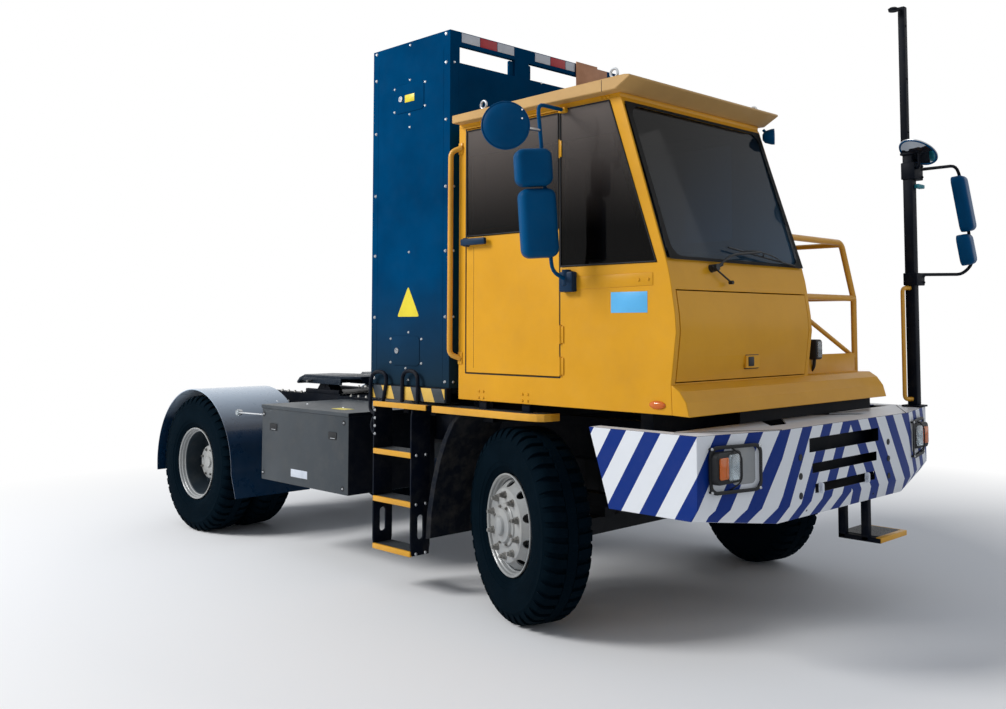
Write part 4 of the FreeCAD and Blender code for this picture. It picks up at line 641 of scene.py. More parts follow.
def addRim(shape, inside, place, flip=1):
    # a rolled lip and bead seat, then the well's wall going in, each a closed section turned round the axle
    lip = [(0.118, 0.2835), (0.123, 0.282), (0.124, 0.277), (0.119, 0.271), (0.106, 0.268), (0.101, 0.262),
           (0.084, 0.259), (0.080, 0.252), (0.076, 0.252), (0.076, 0.266), (0.098, 0.270), (0.108, 0.277)]
    wall = [(0.079, 0.253), (0.074, 0.247), (-0.02, 0.244), (-0.11, 0.247), (-0.118, 0.262), (-0.118, 0.270),
            (-0.106, 0.258), (0.076, 0.256)]
    addLathe(shape, [(flip * across, radius) for across, radius in lip], 96, place, closed=True)
    addLathe(inside, [(flip * across, radius) for across, radius in wall], 96, place, closed=True)


def addDisc(shape, place, face):
    # a dished plate turned from its outer face, hand holes cut round its slope, then given thickness
    look, part = wheelLook, spun(face, 160)
    wide, high = look["handSize"]

    def inHand(co):
        radius, angle = math.hypot(co.x, co.z), math.atan2(co.z, co.x)
        turn = (angle * look["hands"] / math.tau) % 1 - 0.5
        return turn * math.tau / look["hands"] * look["handRadius"] / wide, (radius - look["handRadius"]) / high

    holes = [each for each in part.faces if math.hypot(*inHand(each.calc_center_median())) < 1]
    bmesh.ops.delete(part, geom=holes, context="FACES")
    for vert in part.verts:
        across, up = inHand(vert.co)
        away = math.hypot(across, up)
        if vert.is_boundary and away < 1.5:
            # round the hole's stepped edge
            radius, angle = math.hypot(vert.co.x, vert.co.z), math.atan2(vert.co.z, vert.co.x)
            angle += across * (1 / away - 1) * wide / look["handRadius"]
            grown = radius + up * (1 / away - 1) * high
            vert.co = (grown * math.cos(angle), vert.co.y - (grown - radius) * 1.3, grown * math.sin(angle))
    bmesh.ops.recalc_face_normals(part, faces=part.faces)
    bmesh.ops.solidify(part, geom=part.faces[:], thickness=look["wall"])
    addPart(shape, part, place)


def makeWheels():
    look = wheelLook
    spins = {joint["child"]: joint for joint in frame["joints"] if joint["name"].endswith("wheel_spin")}
    for side, sign in (("right", -1), ("left", 1)):
        body = f"front_{side}_wheel"
        spin = spins[body]
        place = wheelPlace(Vector(spin["pos_m"]), Vector(spin["axis"]) * sign)
        shape = bmesh.new()
        addTyre(shape, place)
        addPiece(f"front_tread_{side}", shape, "tyreRubber", body, 32, replaces=[f"front_tyre_{side}"])
        shape, inside, disc = bmesh.new(), bmesh.new(), look["frontDisc"]
        addRim(shape, inside, place)
        slope = [(disc - 0.010 - 0.0055 * step, 0.2075 + 0.0042 * step) for step in range(11)]
        addDisc(shape, place, [(disc, 0.088), (disc, 0.196), (disc - 0.003, 0.203), *slope, (0.062, 0.2525)])
        addLathe(shape, [(0.0, 0.120), (disc + 0.004, 0.120), (disc + 0.008, 0.116), (disc + 0.008, 0.098),
                         (disc + 0.022, 0.090), (disc + 0.024, 0.070), (disc + 0.030, 0.055), (disc + 0.044, 0.048),
                         (disc + 0.050, 0.038), (disc + 0.050, 0.0001)], 48, place)
        addPiece(f"front_rim_{side}_skin", shape, "wheelEnamel", body, 32,
                 replaces=[f"front_rim_{side}", f"front_hub_{side}"])
        # the well's inside in the darkened rim paint, painted shade
        addPiece(f"front_well_{side}", inside, "primerEnamel", body, 32)
        shape = bmesh.new()
        addNuts(shape, place, disc, look["boltCircle"], look["bolts"], 0.0185, 0.016)
        addNuts(shape, place, disc + 0.007, 0.107, 8, 0.008, 0.004)
        addPiece(f"front_nuts_{side}", shape, "wornSteel", body, 35)
        body = f"rear_{side}_wheel"
        inner = Vector(spins[body]["pos_m"])
        place = wheelPlace(Vector((inner.x, sign * 1.107, inner.z)), Vector((0, sign, 0)))
        behind = place @ Matrix.Translation((0, -look["dual"], 0))
        shape = bmesh.new()
        addTyre(shape, place)
        addTyre(shape, behind)
        addPiece(f"rear_treads_{side}", shape, "tyreRubber", body, 32, replaces=[f"rear_tyres_{side}"])
        shape, inside, disc = bmesh.new(), bmesh.new(), look["rearDisc"]
        addRim(shape, inside, place)
        addRim(shape, inside, behind, -1)
        slope = [(disc + 0.012 + 0.0055 * step, 0.2075 + 0.0036 * step) for step in range(11)]
        addDisc(inside, place, [(disc, 0.12), (disc, 0.196), (disc + 0.003, 0.203), *slope, (disc + 0.078, 0.2475)])
        addLathe(shape, [(disc - 0.02, 0.14), (disc + 0.03, 0.14), (-0.02, 0.135), (0.0, 0.130), (0.006, 0.118),
                         (0.006, 0.046), (0.018, 0.040), (0.018, 0.0001)], 48, place)
        addPiece(f"rear_rims_{side}_skin", shape, "wheelEnamel", body, 32,
                 replaces=[f"rear_rims_{side}", f"rear_hub_{side}"])
        addPiece(f"rear_wells_{side}", inside, "primerEnamel", body, 32)
        shape = bmesh.new()
        addNuts(shape, place, disc, look["boltCircle"], look["bolts"], 0.0185, 0.02)
        addNuts(shape, place, 0.005, 0.103, 8, 0.009, 0.004)
        addPiece(f"rear_nuts_{side}", shape, "wornSteel", body, 35)


makeWheels()
print("stage: wheels")

tower = {
    "aft": -1.386, "fore": -0.610, "half": 1.2,
    "screwRows": (3.438, 3.26, 2.906, 2.494, 2.10, 1.70, 1.308), "screwColumns": (-1.352, -0.648),
    "middleRows": (3.435, 3.21, 2.907, 2.11, 1.605, 1.306), "screw": 0.011,
    "tapes": ((-1.109, -0.954, "whiteTape"), (-0.954, -0.805, "redTape"), (-0.805, -0.653, "whiteTape"),
              (-0.461, -0.312, "whiteTape"), (-0.312, -0.163, "redTape"), (-0.163, -0.066, "whiteTape")),
    "tapeLow": 3.395, "tapeHigh": 3.453,
    "hatches": ((-1.0025, 3.0975, 0.287, 0.181), (-1.0255, 1.4885, 0.275, 0.183)),
}


def makeTower():
    softNode("battery_tower", "towerEnamel", 0.003, [("bronzePlate", (-0.6096, -0.07, 3.28), (-0.6, 0.17, 3.48))])
    softNode("battery_pack", "batteryCover", 0.01)
    shape = bmesh.new()
    addBox(shape, (-0.6015, -0.064, 3.285), (-0.5985, 0.262, 3.452), bevel=0.001)
    addPiece("bronze_plate", shape, "bronzePlate")
    screws, panels = bmesh.new(), bmesh.new()
    for side in (-1, 1):
        face = side * tower["half"]
        for z in tower["screwRows"]:
            for x in tower["screwColumns"]:
                addDome(screws, (x, face, z), (0, side, 0), tower["screw"], 0.006)
        for z in tower["middleRows"]:
            addDome(screws, (-1.0, face, z), (0, side, 0), tower["screw"] * 0.8, 0.005)
        # raised side panel between the corner posts, with hatches held by five screws each
        for x in (-1.329, -0.672):
            addBox(panels, (x - 0.0015, face - 0.001, 1.285), (x + 0.0015, face + 0.0012, 3.36))
        for x, z, width, height in tower["hatches"]:
            outline = roundedOutline(width, height, 0.03)
            place = Matrix.Translation(at(x, face, z)) @ Matrix.Rotation(math.radians(90 * -side), 4, "X")
            addSlab(panels, [(u, -v * side, 0) for u, v in outline], (0, 0, 0.004), place, 0.001)
            for u, v in ((-0.154, 0.075), (0.154, 0.075), (-0.154, -0.075), (0.154, -0.075), (0, -0.109)):
                addDome(screws, (x + u, face, z + v), (0, side, 0), tower["screw"] * 0.8, 0.005)
    for end, facing in ((tower["fore"], 1), (tower["aft"], -1)):
        for z in tower["screwRows"][1:]:
            for y in (-1.165, -0.4, 0.4, 1.165):
                addDome(screws, (end, y, z), (facing, 0, 0), tower["screw"] * 0.8, 0.005)
        for y in (-1.129, 1.129):
            addBox(panels, (end - 0.0012, y - 0.0015, 1.285), (end + 0.0012, y + 0.0015, 3.25))
        # rounded gussets behind the parapet's posts
        for y in (-0.5815, 0.5815):
            spot = at(end - facing * 0.028, y, 3.318)
            addBox(panels, spot - Vector((0.012, 0.1, 0.052)), spot + Vector((0.012, 0.1, 0.048)), bevel=0.01)
    addPiece("tower_screws", screws, "zincSteel")
    addPiece("tower_panels", panels, "towerEnamel")
    plates = {}
    for low, high, finish in tower["tapes"]:
        for end, facing in ((tower["fore"], 1), (tower["aft"], -1)):
            shape = plates.setdefault(finish, bmesh.new())
            addBox(shape, (end - 0.001, low + 0.002, tower["tapeLow"]),
                   (end + 0.001, high - 0.002, tower["tapeHigh"]), bevel=0.0004)
    for finish, shape in plates.items():
        addPiece("tower_" + finish, shape, finish)
    # blank warning triangle, a blank lock label and the hatches' lock rings
    shape = bmesh.new()
    corners = [Vector((-0.109, -0.0955)), Vector((0.109, -0.0955)), Vector((0.0, 0.0955))]
    outline = []
    for index, corner in enumerate(corners):
        before, after = corners[index - 1] - corner, corners[(index + 1) % 3] - corner
        for step in (0, 0.5, 1):
            outline.append(corner + before.normalized() * 0.016 * (1 - step) ** 2
                           + after.normalized() * 0.016 * step ** 2)
    place = at(-1.003, -tower["half"] - 0.0002, 1.7985)
    addSlab(shape, [(place.x + u, place.y, place.z + v) for u, v in outline], (0, -0.0012, 0))
    x, z, width, height = tower["hatches"][0]
    addBox(shape, (x - 0.043, -1.2058, z - 0.028), (x + 0.052, -1.2038, z + 0.020), bevel=0.0005)
    addPiece("tower_labels", shape, "yellowVinyl")
    shape = bmesh.new()
    for x, z, width, height in tower["hatches"]:
        for side in (-1, 1):
            turn = Matrix.Rotation(math.radians(180 if side < 0 else 0), 4, "Z")
            spot = Matrix.Translation(at(x - 0.085, side * 1.204, z)) @ turn
            addLathe(shape, [(0, 0.019), (0.005, 0.018), (0.005, 0.013), (0.002, 0.012), (0.002, 0.006), (0.006, 0.005),
                             (0.006, 0.0001)], 24, spot)
    addPiece("tower_locks", shape, "zincSteel")


makeTower()
print("stage: battery tower")

cab = {
    "face": -1.2,
    "doorAft": -0.461, "doorFore": 0.300, "doorLow": 1.368, "doorHigh": 2.818,
    "screenLow": (1.0235, 1.9715), "screenHigh": (0.738, 2.808), "screenSides": (-1.185, 0.088), "frit": 0.035,
    "rail": ((-0.496, 2.712), (-0.546, 2.686), (-0.552, 1.478), (-0.504, 1.452)), "railOut": 0.046, "railThick": 0.0165,
    "railFeet": (1.455, 2.705),
    "eyes": ((-0.336, -1.175), (0.700, -1.215), (-0.336, 0.075), (0.700, 0.1)),
    "hingeX": 0.304, "hinges": ((2.605, 0.005), (1.60, 0.009), (1.43, 0.009)),
    "patch": ((0.345, 1.838), (0.93, 1.848), (0.93, 1.912), (0.37, 1.905)),
    "patchRivets": (0.842, 0.902), "roofRivets": (0.60, 0.625, 0.65),
    "sillX": (-0.344, -0.306, 0.014, 0.056), "sillZ": (1.232, 1.268), "label": ((0.658, 1.713), (0.894, 1.819)),
    "turnLamp": (0.952, 1.259), "turnSize": (0.050, 0.016, 0.021, 1),
}


def alongScreen(y, share, proud=0.004):
    # a point on the windscreen: share runs from its lower edge, 0, to its upper edge, 1
    low, high = cab["screenLow"], cab["screenHigh"]
    run = Vector((high[0] - low[0], 0, high[1] - low[1]))
    out = Vector((run.z, 0, -run.x)).normalized() * proud
    return at(low[0], y, low[1]) + run * share + out


def makeScreen():
    # black band printed round the inside edge of the windscreen, with rounded inner corners
    height = (Vector(cab["screenHigh"]) - Vector(cab["screenLow"])).length
    right, left = cab["screenSides"]
    middle, width = (right + left) / 2, left - right
    part = bmesh.new()
    inner = roundedOutline(width - 2 * cab["frit"], height - 0.045, 0.075, 6)
    outer = []
    for u, v in inner:
        scaleU, scaleV = (width / 2) / max(abs(u), 1e-6), (height / 2 - 0.004) / max(abs(v), 1e-6)
        grow = min(scaleU, scaleV)
        outer.append((u * grow, v * grow))
    rings = []
    for outline in (inner, outer):
        rings.append([part.verts.new(alongScreen(middle + u, 0.5 + v / height, 0.0045)) for u, v in outline])
    count = len(inner)
    for index in range(count):
        after = (index + 1) % count
        part.faces.new((rings[0][index], rings[1][index], rings[1][after], rings[0][after]))
    bmesh.ops.solidify(part, geom=part.faces[:], thickness=0.001)
    shape = bmesh.new()
    addPart(shape, part)
    # seals round the side panes: the door's own, then the quarter pane's with the band
    y, door = cab["face"] - 0.002, bmesh.new()
    addBox(door, (-0.392, cab["face"] - 0.0006, 1.40), (-0.3905, cab["face"] + 0.001, 2.11))
    panes = ((door, [(-0.450, 2.174), (0.292, 2.174), (0.292, 2.802), (-0.450, 2.802)]),
             (shape, [(0.308, 1.966), (0.951, 1.966), (0.654, 2.818), (0.308, 2.818)]))
    for part, pane in panes:
        for start, end in zip(pane, pane[1:] + pane[:1]):
            addTube(part, [(start[0], y, start[1]), (end[0], y, end[1])], 0.004, sides=8)
    addPiece("door_seals", door, "sealRubber", "cab_door")
    addPiece("window_seals", shape, "sealRubber")


def makeWiper():
    shape = bmesh.new()
    pivot = alongScreen(-0.832, 0, 0.0) + Vector((0.012, 0, -0.030))
    addRod(shape, pivot - Vector((0.02, 0, 0.002)), pivot + Vector((0.03, 0, 0.006)), 0.022, 16, 0.8)
    addRod(shape, pivot + Vector((0.006, -0.02, 0.0)), pivot + Vector((0.02, 0.05, 0.022)), 0.012, 10, 0.8)
    elbow, hinge = pivot + Vector((0.028, 0.12, 0.075)), alongScreen(-0.387, 0.075, 0.040)
    addTube(shape, [pivot + Vector((0.024, 0, 0.004)), elbow, hinge], 0.006, 0.06, 8)
    ends = (alongScreen(-0.651, 0.101, 0.014), alongScreen(-0.012, 0.012, 0.014))
    addTube(shape, [ends[0], ends[1]], 0.005, sides=8)
    for share in (0.2, 0.5, 0.8):
        near = ends[0].lerp(ends[1], share)
        addTube(shape, [near, near.lerp(hinge, 0.5) + Vector((0.012, 0, 0.006)), hinge], 0.0035, 0.05, 6)
    nozzle = pivot + Vector((0.03, 0.117, -0.07))
    addTube(shape, [pivot + Vector((0.012, 0.02, -0.01)), nozzle], 0.005, sides=8)
    addRod(shape, nozzle - Vector((0.012, 0, 0)), nozzle + Vector((0.012, 0, 0)), 0.010, 10)
    addPiece("wiper", shape, "mouldedPlastic")


def makeCabTrim():
    face = cab["face"]
    lines, bright, dark, yellow, hinges = [bmesh.new() for index in range(5)]
    # door edges: a dark shut line, with the leaf's pressed line inside it
    for x in (cab["doorAft"], cab["doorFore"]):
        addBox(lines, (x - 0.0028, face - 0.0008, cab["doorLow"]), (x + 0.0028, face + 0.004, cab["doorHigh"]))
    addBox(lines, (cab["doorAft"], face - 0.0008, cab["doorLow"] - 0.0028),
           (cab["doorFore"], face + 0.004, cab["doorLow"] + 0.0028))
    addBox(dark, (-0.470, face - 0.040, 2.118), (-0.262, face - 0.016, 2.158), bevel=0.008)
    addRod(dark, (-0.442, face - 0.03, 2.138), (-0.442, face + 0.001, 2.138), 0.026, 18)
    # hinge leaves on the door's front edge, one up at the panes and two low
    x = cab["hingeX"]
    for z, thick in cab["hinges"]:
        addRod(hinges, (x, face - 0.004, z - 0.05), (x, face - 0.004, z + 0.05), thick, 12)
        addBox(yellow, (x - 0.002, face - 0.006, z - 0.045), (x - 0.002 + thick * 3, face - 0.0005, z + 0.045), 0.002)
    # stiffened patch under the quarter pane, its edge pressed and two rivets at its front
    addSlab(yellow, [at(u, face + 0.001, v) for u, v in cab["patch"]], (0, -0.004, 0), bevel=0.0015)
    for x in cab["patchRivets"]:
        addDome(yellow, (x, face - 0.003, 1.878), (0, -1, 0), 0.010, 0.006)
    for x in cab["roofRivets"]:
        addDome(yellow, (x, face, 2.836), (0, -1, 0), 0.009, 0.005)
    # bolts through the sill over the step board's two brackets
    for x in cab["sillX"]:
        for z in cab["sillZ"]:
            addDome(yellow, (x, face, z), (0, -1, 0), 0.009, 0.006)
    # lifting eyes on the roof
    for x, y in cab["eyes"]:
        foot = at(x, y, 2.905)
        addRod(bright, foot - Vector((0, 0, 0.02)), foot + Vector((0, 0, 0.022)), 0.012, 12)
        ring = [foot + Vector((0.024 * math.sin(a), 0, 0.045 + 0.024 * -math.cos(a))) for a in
                [math.tau * step / 16 for step in range(17)]]
        addTube(bright, ring, 0.007, 0.004, 8)
    # the long handrail and its foot plates
    shape = bmesh.new()
    outs = (0, cab["railOut"], cab["railOut"], 0)
    addTube(shape, [(x, face - out, z) for (x, z), out in zip(cab["rail"], outs)], cab["railThick"], 0.14, 16)
    addPiece("cab_handrail_skin", shape, "railEnamel", replaces=["cab_handrail"])
    for z in cab["railFeet"]:
        addBox(yellow, (-0.524, face - 0.006, z - 0.035), (-0.488, face, z + 0.035), bevel=0.002)
    addPiece("cab_shut_lines", lines, "sealRubber")
    addPiece("cab_bolts", bright, "zincSteel")
    addPiece("door_handle", dark, "handleEnamel", "cab_door")
    addPiece("door_hinges", hinges, "cabEnamel", "cab_door")
    addPiece("cab_patches", yellow, "cabEnamel")
    (aft, low), (fore, high) = cab["label"]
    makePiece("cab_label", "blueVinyl", (addBox, (aft, face - 0.0012, low), (fore, face + 0.001, high), 0.0004))
    shape, part, (x, z) = bmesh.new(), bmesh.new(), cab["turnLamp"]
    bmesh.ops.create_uvsphere(part, u_segments=24, v_segments=10, radius=1)
    addPart(shape, part, Matrix.Translation(at(x, face - 0.001, z)) @ Matrix.Diagonal(cab["turnSize"]))
    addPiece("turn_lamp", shape, "amberLens")


roof = {"low": 2.850, "cadLow": 2.83, "squeeze": 0.68, "rearIn": 0.014, "lamp": (0.789, 0.132, 2.784), "lampTurn": -62}


def makeRoofTrim():
    # slim roof: the CAD slab is drawn up off the windows, over a band of the shell
    for vert in bpy.data.objects["cab_roof_skin"].data.vertices:
        vert.co.z = roof["low"] + (vert.co.z - roof["cadLow"]) * roof["squeeze"]
        if vert.co.x < axleX:
            vert.co.x += roof["rearIn"]
    makePiece("roof_band", "cabEnamel", (addBox, (-0.522, -1.2, 2.828), (0.727, 0.104, 2.852)))
    # the roof's front section ends in a thin seam
    makePiece("roof_seam", "sealRubber", (addBox, (0.655, -1.2668, 2.852), (0.658, -1.262, 2.912)))
    # work lamp under the visor's far corner
    shape = bmesh.new()
    spot = at(*roof["lamp"])
    turn = Matrix.Translation(spot) @ Matrix.Rotation(math.radians(roof["lampTurn"]), 4, "Z")
    addLathe(shape, [(-0.04, 0.0001), (-0.04, 0.018), (-0.026, 0.036), (0.012, 0.047), (0.03, 0.048), (0.03, 0.042),
                     (0.02, 0.0001)], 28, turn)
    addRod(shape, spot, spot + Vector((-0.03, -0.02, 0.045)), 0.009, 10)
    addPiece("roof_lamp", shape, "mirrorEnamel")
    shape = bmesh.new()
    addLathe(shape, [(0.021, 0.0001), (0.027, 0.02), (0.026, 0.041)], 28, turn)
    addPiece("roof_lamp_lens", shape, "clearLens")


def makeNose():
    # recessed latch in the nose flap, and the seam down the cowl beside it
    makePiece("flap_latch", "mouldedPlastic", (addBox, (1.036, -0.575, 1.418), (1.056, -0.440, 1.496), 0.008),
              (addBox, (1.045, -0.555, 1.432), (1.064, -0.500, 1.484), 0.006), body="hood")
    makePiece("cowl_seam", "sealRubber", (addBox, (1.0195, -0.800, 1.62), (1.0215, -0.797, 1.962)))


makeScreen()
makeWiper()
makeCabTrim()
makeRoofTrim()
makeNose()
print("stage: cab")

bumper = {
    "face": 1.348, "corner": 1.22, "flat": 0.713, "half": 1.252, "top": 1.13, "wall": 0.008,
    "fold": (0.749, 0.785), "lip": (0.662, 0.729), "slotY": -0.06,
    "slots": ((0.997, 1.067, 0.385), (0.889, 0.937, 0.358), (0.785, 0.830, 0.332)),
    "notch": ((1.0185, -0.160), (1.193, -0.409), (1.189, -0.551), (1.0185, -0.371)),
    "lugs": (-0.359, 0.151), "lugEye": (1.364, 0.809), "lugThick": 0.018,
}


def onSlant(y, z, proud):
    # a point proud of the bumper's slanted corner panel, on the side that y is on
    side = 1 if y > 0 else -1
    share = (abs(y) - bumper["flat"]) / (bumper["half"] - bumper["flat"])
    slope = math.atan2(bumper["face"] - bumper["corner"], bumper["half"] - bumper["flat"])
    x = bumper["face"] - share * (bumper["face"] - bumper["corner"])
    return at(x, y, z) + Vector((math.cos(slope), side * math.sin(slope), 0)) * proud


def makeBumper():
    # plate folded round the nose: the plan's edge is drawn down to the fold, then in to the lip
    look, shape = bumper, bmesh.new()
    plan = [(0.548, -look["half"]), (look["corner"], -look["half"]), (look["face"], -look["flat"])]
    plan += [(x, -y) for x, y in reversed(plan)]
    verts = [shape.verts.new(at(x, y, look["top"])) for x, y in plan]
    edges = [shape.edges.new(pair) for pair in zip(verts, verts[1:])]
    for step in range(2):
        drawn = bmesh.ops.extrude_edge_only(shape, edges=edges)["geom"]
        edges = [each for each in drawn if isinstance(each, bmesh.types.BMEdge)]
        for vert in [each for each in drawn if isinstance(each, bmesh.types.BMVert)]:
            x, side = vert.co.x - axleX, math.copysign(1, vert.co.y)
            front = abs(vert.co.y) < look["flat"] + 0.01
            vert.co.z = (look["fold"], look["lip"])[step][0 if front else 1]
            if x < 0.9:
                vert.co.x = axleX + (0.664, 0.680)[step]
            elif step:
                vert.co.x -= 0.046 if front else 0.040
                vert.co.y -= side * (0.022 if front else 0)
    bmesh.ops.recalc_face_normals(shape, faces=shape.faces)
    if next(face for face in shape.faces if face.calc_center_median().x > axleX + look["face"] - 0.001).normal.x < 0:
        bmesh.ops.reverse_faces(shape, faces=shape.faces)
    cuts = [(Vector((0, 0, z)), (0, 0, 1)) for low, high, half in look["slots"] for z in (low, high)]
    cuts += [(Vector((0, look["slotY"] + side * half, 0)), (0, 1, 0)) for low, high, half in look["slots"]
             for side in (-1, 1)]
    for place, facing in cuts:
        bmesh.ops.bisect_plane(shape, geom=shape.verts[:] + shape.edges[:] + shape.faces[:], dist=0.0001,
                               plane_co=place, plane_no=facing)
    holes = []
    for face in shape.faces:
        middle = face.calc_center_median()
        for low, high, half in look["slots"]:
            if middle.x > axleX + 1.3 and low < middle.z < high and abs(middle.y - look["slotY"]) < half:
                holes.append(face)
    bmesh.ops.delete(shape, geom=holes, context="FACES")
    # the plate's inner faces take the dark frame paint, painted shade inside the slots
    outside = set(shape.faces)
    bmesh.ops.solidify(shape, geom=shape.faces[:], thickness=look["wall"])
    for face in shape.faces:
        face.material_index = 0 if face in outside else 1
    deck = [(0.548, -1.244), (1.214, -1.244), (1.340, -0.709), (1.340, 0.709), (1.214, 1.244), (0.548, 1.244),
            (0.548, 1.162), (1.0185, 1.162)]
    deck += [(x, -y) for x, y in reversed(look["notch"])] + [*look["notch"], (1.0185, -1.162), (0.548, -1.162)]
    addSlab(shape, [at(x, y, look["top"] - 0.0005) for x, y in deck], (0, 0, -look["wall"]))
    addPiece("front_bumper_skin", shape, ["stripedEnamel", "chassisEnamel"], bevel=0.003, replaces=["front_bumper"])
    # stays to the frame, the splash plate behind the slots in dark frame paint, painted shade seen through them, and
    # the towing lugs
    shape = bmesh.new()
    for side in (-1, 1):
        low, high = sorted((side * 0.430, side * 0.444))
        addBox(shape, (0.990, low, 0.860), (1.342, high, 1.060), bevel=0.003)
    addSlab(shape, [at(1.262, y, z) for y, z in ((-0.425, 0.80), (-0.425, 1.10), (0.425, 1.10), (0.425, 0.80))],
            (0.003, 0, 0))
    addSlab(shape, [at(1.262, y, 0.80) for y in (-0.425, 0.425)] + [at(1.20, y, 0.70) for y in (0.425, -0.425)],
            (0.003, 0, 0))
    addPiece("bumper_stays", shape, "chassisEnamel")
    shape = bmesh.new()
    x, z = look["lugEye"]
    plate = roundedOutline(0.024, 0.054, 0.010, 5)
    eye = [(0.008 * u / math.hypot(u, v), 0.013 * v / math.hypot(u, v)) for u, v in plate]
    for y in look["lugs"]:
        turned = Matrix.Translation(at(x, y - look["lugThick"] / 2, z)) @ Matrix.Rotation(math.radians(90), 4, "Z")
        addFrame(shape, plate, eye, look["lugThick"], turned)
    addPiece("towing_lugs", shape, "whiteEnamel", bevel=0.0015)


lamps = {
    "y": (-1.027, 0.93), "z": 0.966, "guard": (0.338, 0.230, 0.046), "bar": 0.017,
    "pod": (0.208, 0.152, 0.028), "depth": 0.030, "podY": (-1.086, 0.955), "podUp": 0.010,
    "amber": (0.072, 0.102, 0.010), "clear": (0.088, 0.124, 0.012), "chrome": (0.082, 0.116, 0.010),
    "well": (0.150, 0.178, 0.024),
}


def makeHeadlamps():
    # lamp pod standing out of a pocket in each slanted panel, inside a flat guard frame with one upright rod
    look = lamps
    slope = math.atan2(bumper["face"] - bumper["corner"], bumper["half"] - bumper["flat"])
    shells, clear, amber, chrome, pocket, bolts = [bmesh.new() for index in range(6)]
    wide, high, turn = look["guard"]
    bar = look["bar"]
    for side, guardY, podY in zip((-1, 1), look["y"], look["podY"]):
        place = Matrix.Translation(onSlant(guardY, look["z"], 0.0)) @ Matrix.Rotation(side * slope, 4, "Z")
        lift = place @ Matrix.Translation((0.012, 0, 0))
        inside = roundedOutline(wide - 2 * bar, high - 2 * bar, turn - bar * 0.7)
        addFrame(shells, roundedOutline(wide, high, turn), inside, 0.008, lift, 0.002)
        for u in (-1, 1):
            for v in (-1, 1):
                spot = Vector((0.020, u * (wide / 2 - 0.014), v * (high / 2 - 0.014)))
                addDome(bolts, place @ spot, place.to_3x3() @ Vector((1, 0, 0)), 0.008, 0.004)
                ends = [place @ Vector((x, spot.y, spot.z)) for x in (0.0, 0.013)]
                addRod(shells, *ends, 0.006, 10)
        # the pod itself looks straight ahead
        up, front = look["podUp"], Matrix.Translation(onSlant(podY, look["z"], 0.0))
        case = [(-0.022, a, up + b) for a, b in roundedOutline(*look["pod"])]
        addSlab(shells, case, (0.022 + look["depth"], 0, 0), front, 0.006)
        for shift, outline, glass in ((0.052, look["amber"], amber), (-0.034, look["clear"], clear)):
            pane = [(look["depth"] + 0.001, side * shift + a, up + b) for a, b in roundedOutline(*outline)]
            addSlab(glass, pane, (0.006, 0, 0), front, 0.002)
        back = [(look["depth"] - 0.002, side * -0.034 + a, up + b) for a, b in roundedOutline(*look["chrome"])]
        addSlab(chrome, back, (0.0025, 0, 0), front)
        rod = [(0.0, side * -0.03, high / 2 - 0.006), (0.068, side * -0.045, 0.072), (0.068, side * -0.045, -0.056),
               (0.0, side * -0.03, 0.006 - high / 2)]
        addTube(shells, [front @ Vector(spot) for spot in rod], 0.004, 0.03, 8)
        well = [(0.0005, -side * 0.062 + a, up + b) for a, b in roundedOutline(*look["well"])]
        addSlab(pocket, well, (0.0012, 0, 0), place)
    addPiece("lamp_pods", shells, "mouldedPlastic", replaces=["headlamps"])
    addPiece("lamp_pockets", pocket, "wheelEnamel")
    addPiece("lamp_bolts", bolts, "zincSteel")
    addPiece("lamp_lenses", clear, "clearLens")
    addPiece("lamp_reflectors", chrome, "lampChrome")
    addPiece("lamp_indicators", amber, "amberLens")


bumperDetails = {
    "plugY": (-0.54, 0.442), "plugZ": (0.98, 0.885, 0.787), "plug": 0.017,
    "boltY": (-0.44, 0.30), "boltZ": (0.722, 0.7), "boltFacing": (0.6, 0, -0.8),
    "seam": ((1.05, 1.20), (1.34, 0.70)), "seamThick": 0.0018,
}


def makeBumperDetails():
    # plugged holes at both ends of each slot, bolts in the fold, seams of the top plate and its folded notch
    look, x, seamZ = bumperDetails, bumper["face"], bumper["top"] + 0.0002
    plugs = [(addRod, (x - 0.002, y, z), (x + 0.003, y, z), look["plug"], 18)
             for z in look["plugZ"] for y in look["plugY"]]
    bolts = [(addDome, (x - 0.03, y, z), look["boltFacing"], 0.008, 0.006)
             for z in look["boltZ"] for y in look["boltY"]]
    makePiece("bumper_plugs", "mouldedPlastic", *plugs, *bolts)
    seams = [(addTube, [(along, side * y, seamZ) for along, y in look["seam"]], look["seamThick"], 0.03, 8)
             for side in (1, -1)]
    makePiece("bumper_seams", "sealRubber", *seams)


# boxes by their corners; the frame starts with two square legs, one behind the other at the tread's inner edge
frontStep = {
    "frame": (((1.070, 0.362, 0.412), (1.114, 0.406, 0.775)), ((1.212, 0.362, 0.412), (1.256, 0.406, 0.775)),
              ((1.060, 0.330, 0.760), (1.336, 0.500, 0.788)), ((1.070, 0.362, 0.409), (1.330, 0.400, 0.437)),
              ((1.060, 0.396, 0.412), (1.330, 0.690, 0.4385))),
    "nose": (((1.058, 0.674, 0.414), (1.334, 0.692, 0.4415)), ((1.300, 0.364, 0.412), (1.335, 0.692, 0.4420))),
    "tread": ((1.066, 0.402, 0.4385), (1.300, 0.674, 0.4415)),
    "valance": ((1.028, -0.60, 1.1315), (1.034, 0.868, 1.208)),
}


def makeFrontStep():
    look = frontStep
    makePiece("front_step_skin", "stepEnamel", *[(addBox, *corners, 0.004) for corners in look["frame"]],
              replaces=["front_step"])
    makePiece("front_step_nose", "noseEnamel", *[(addBox, *corners, 0.003) for corners in look["nose"]])
    makePiece("front_step_tread", "expandedSteel", (addBox, *look["tread"]))
    # a black sheet under the skirt, painted shade where the skirt shades the bumper
    makePiece("skirt_shadow_sheet", "chassisEnamel", (addBox, *look["valance"]))


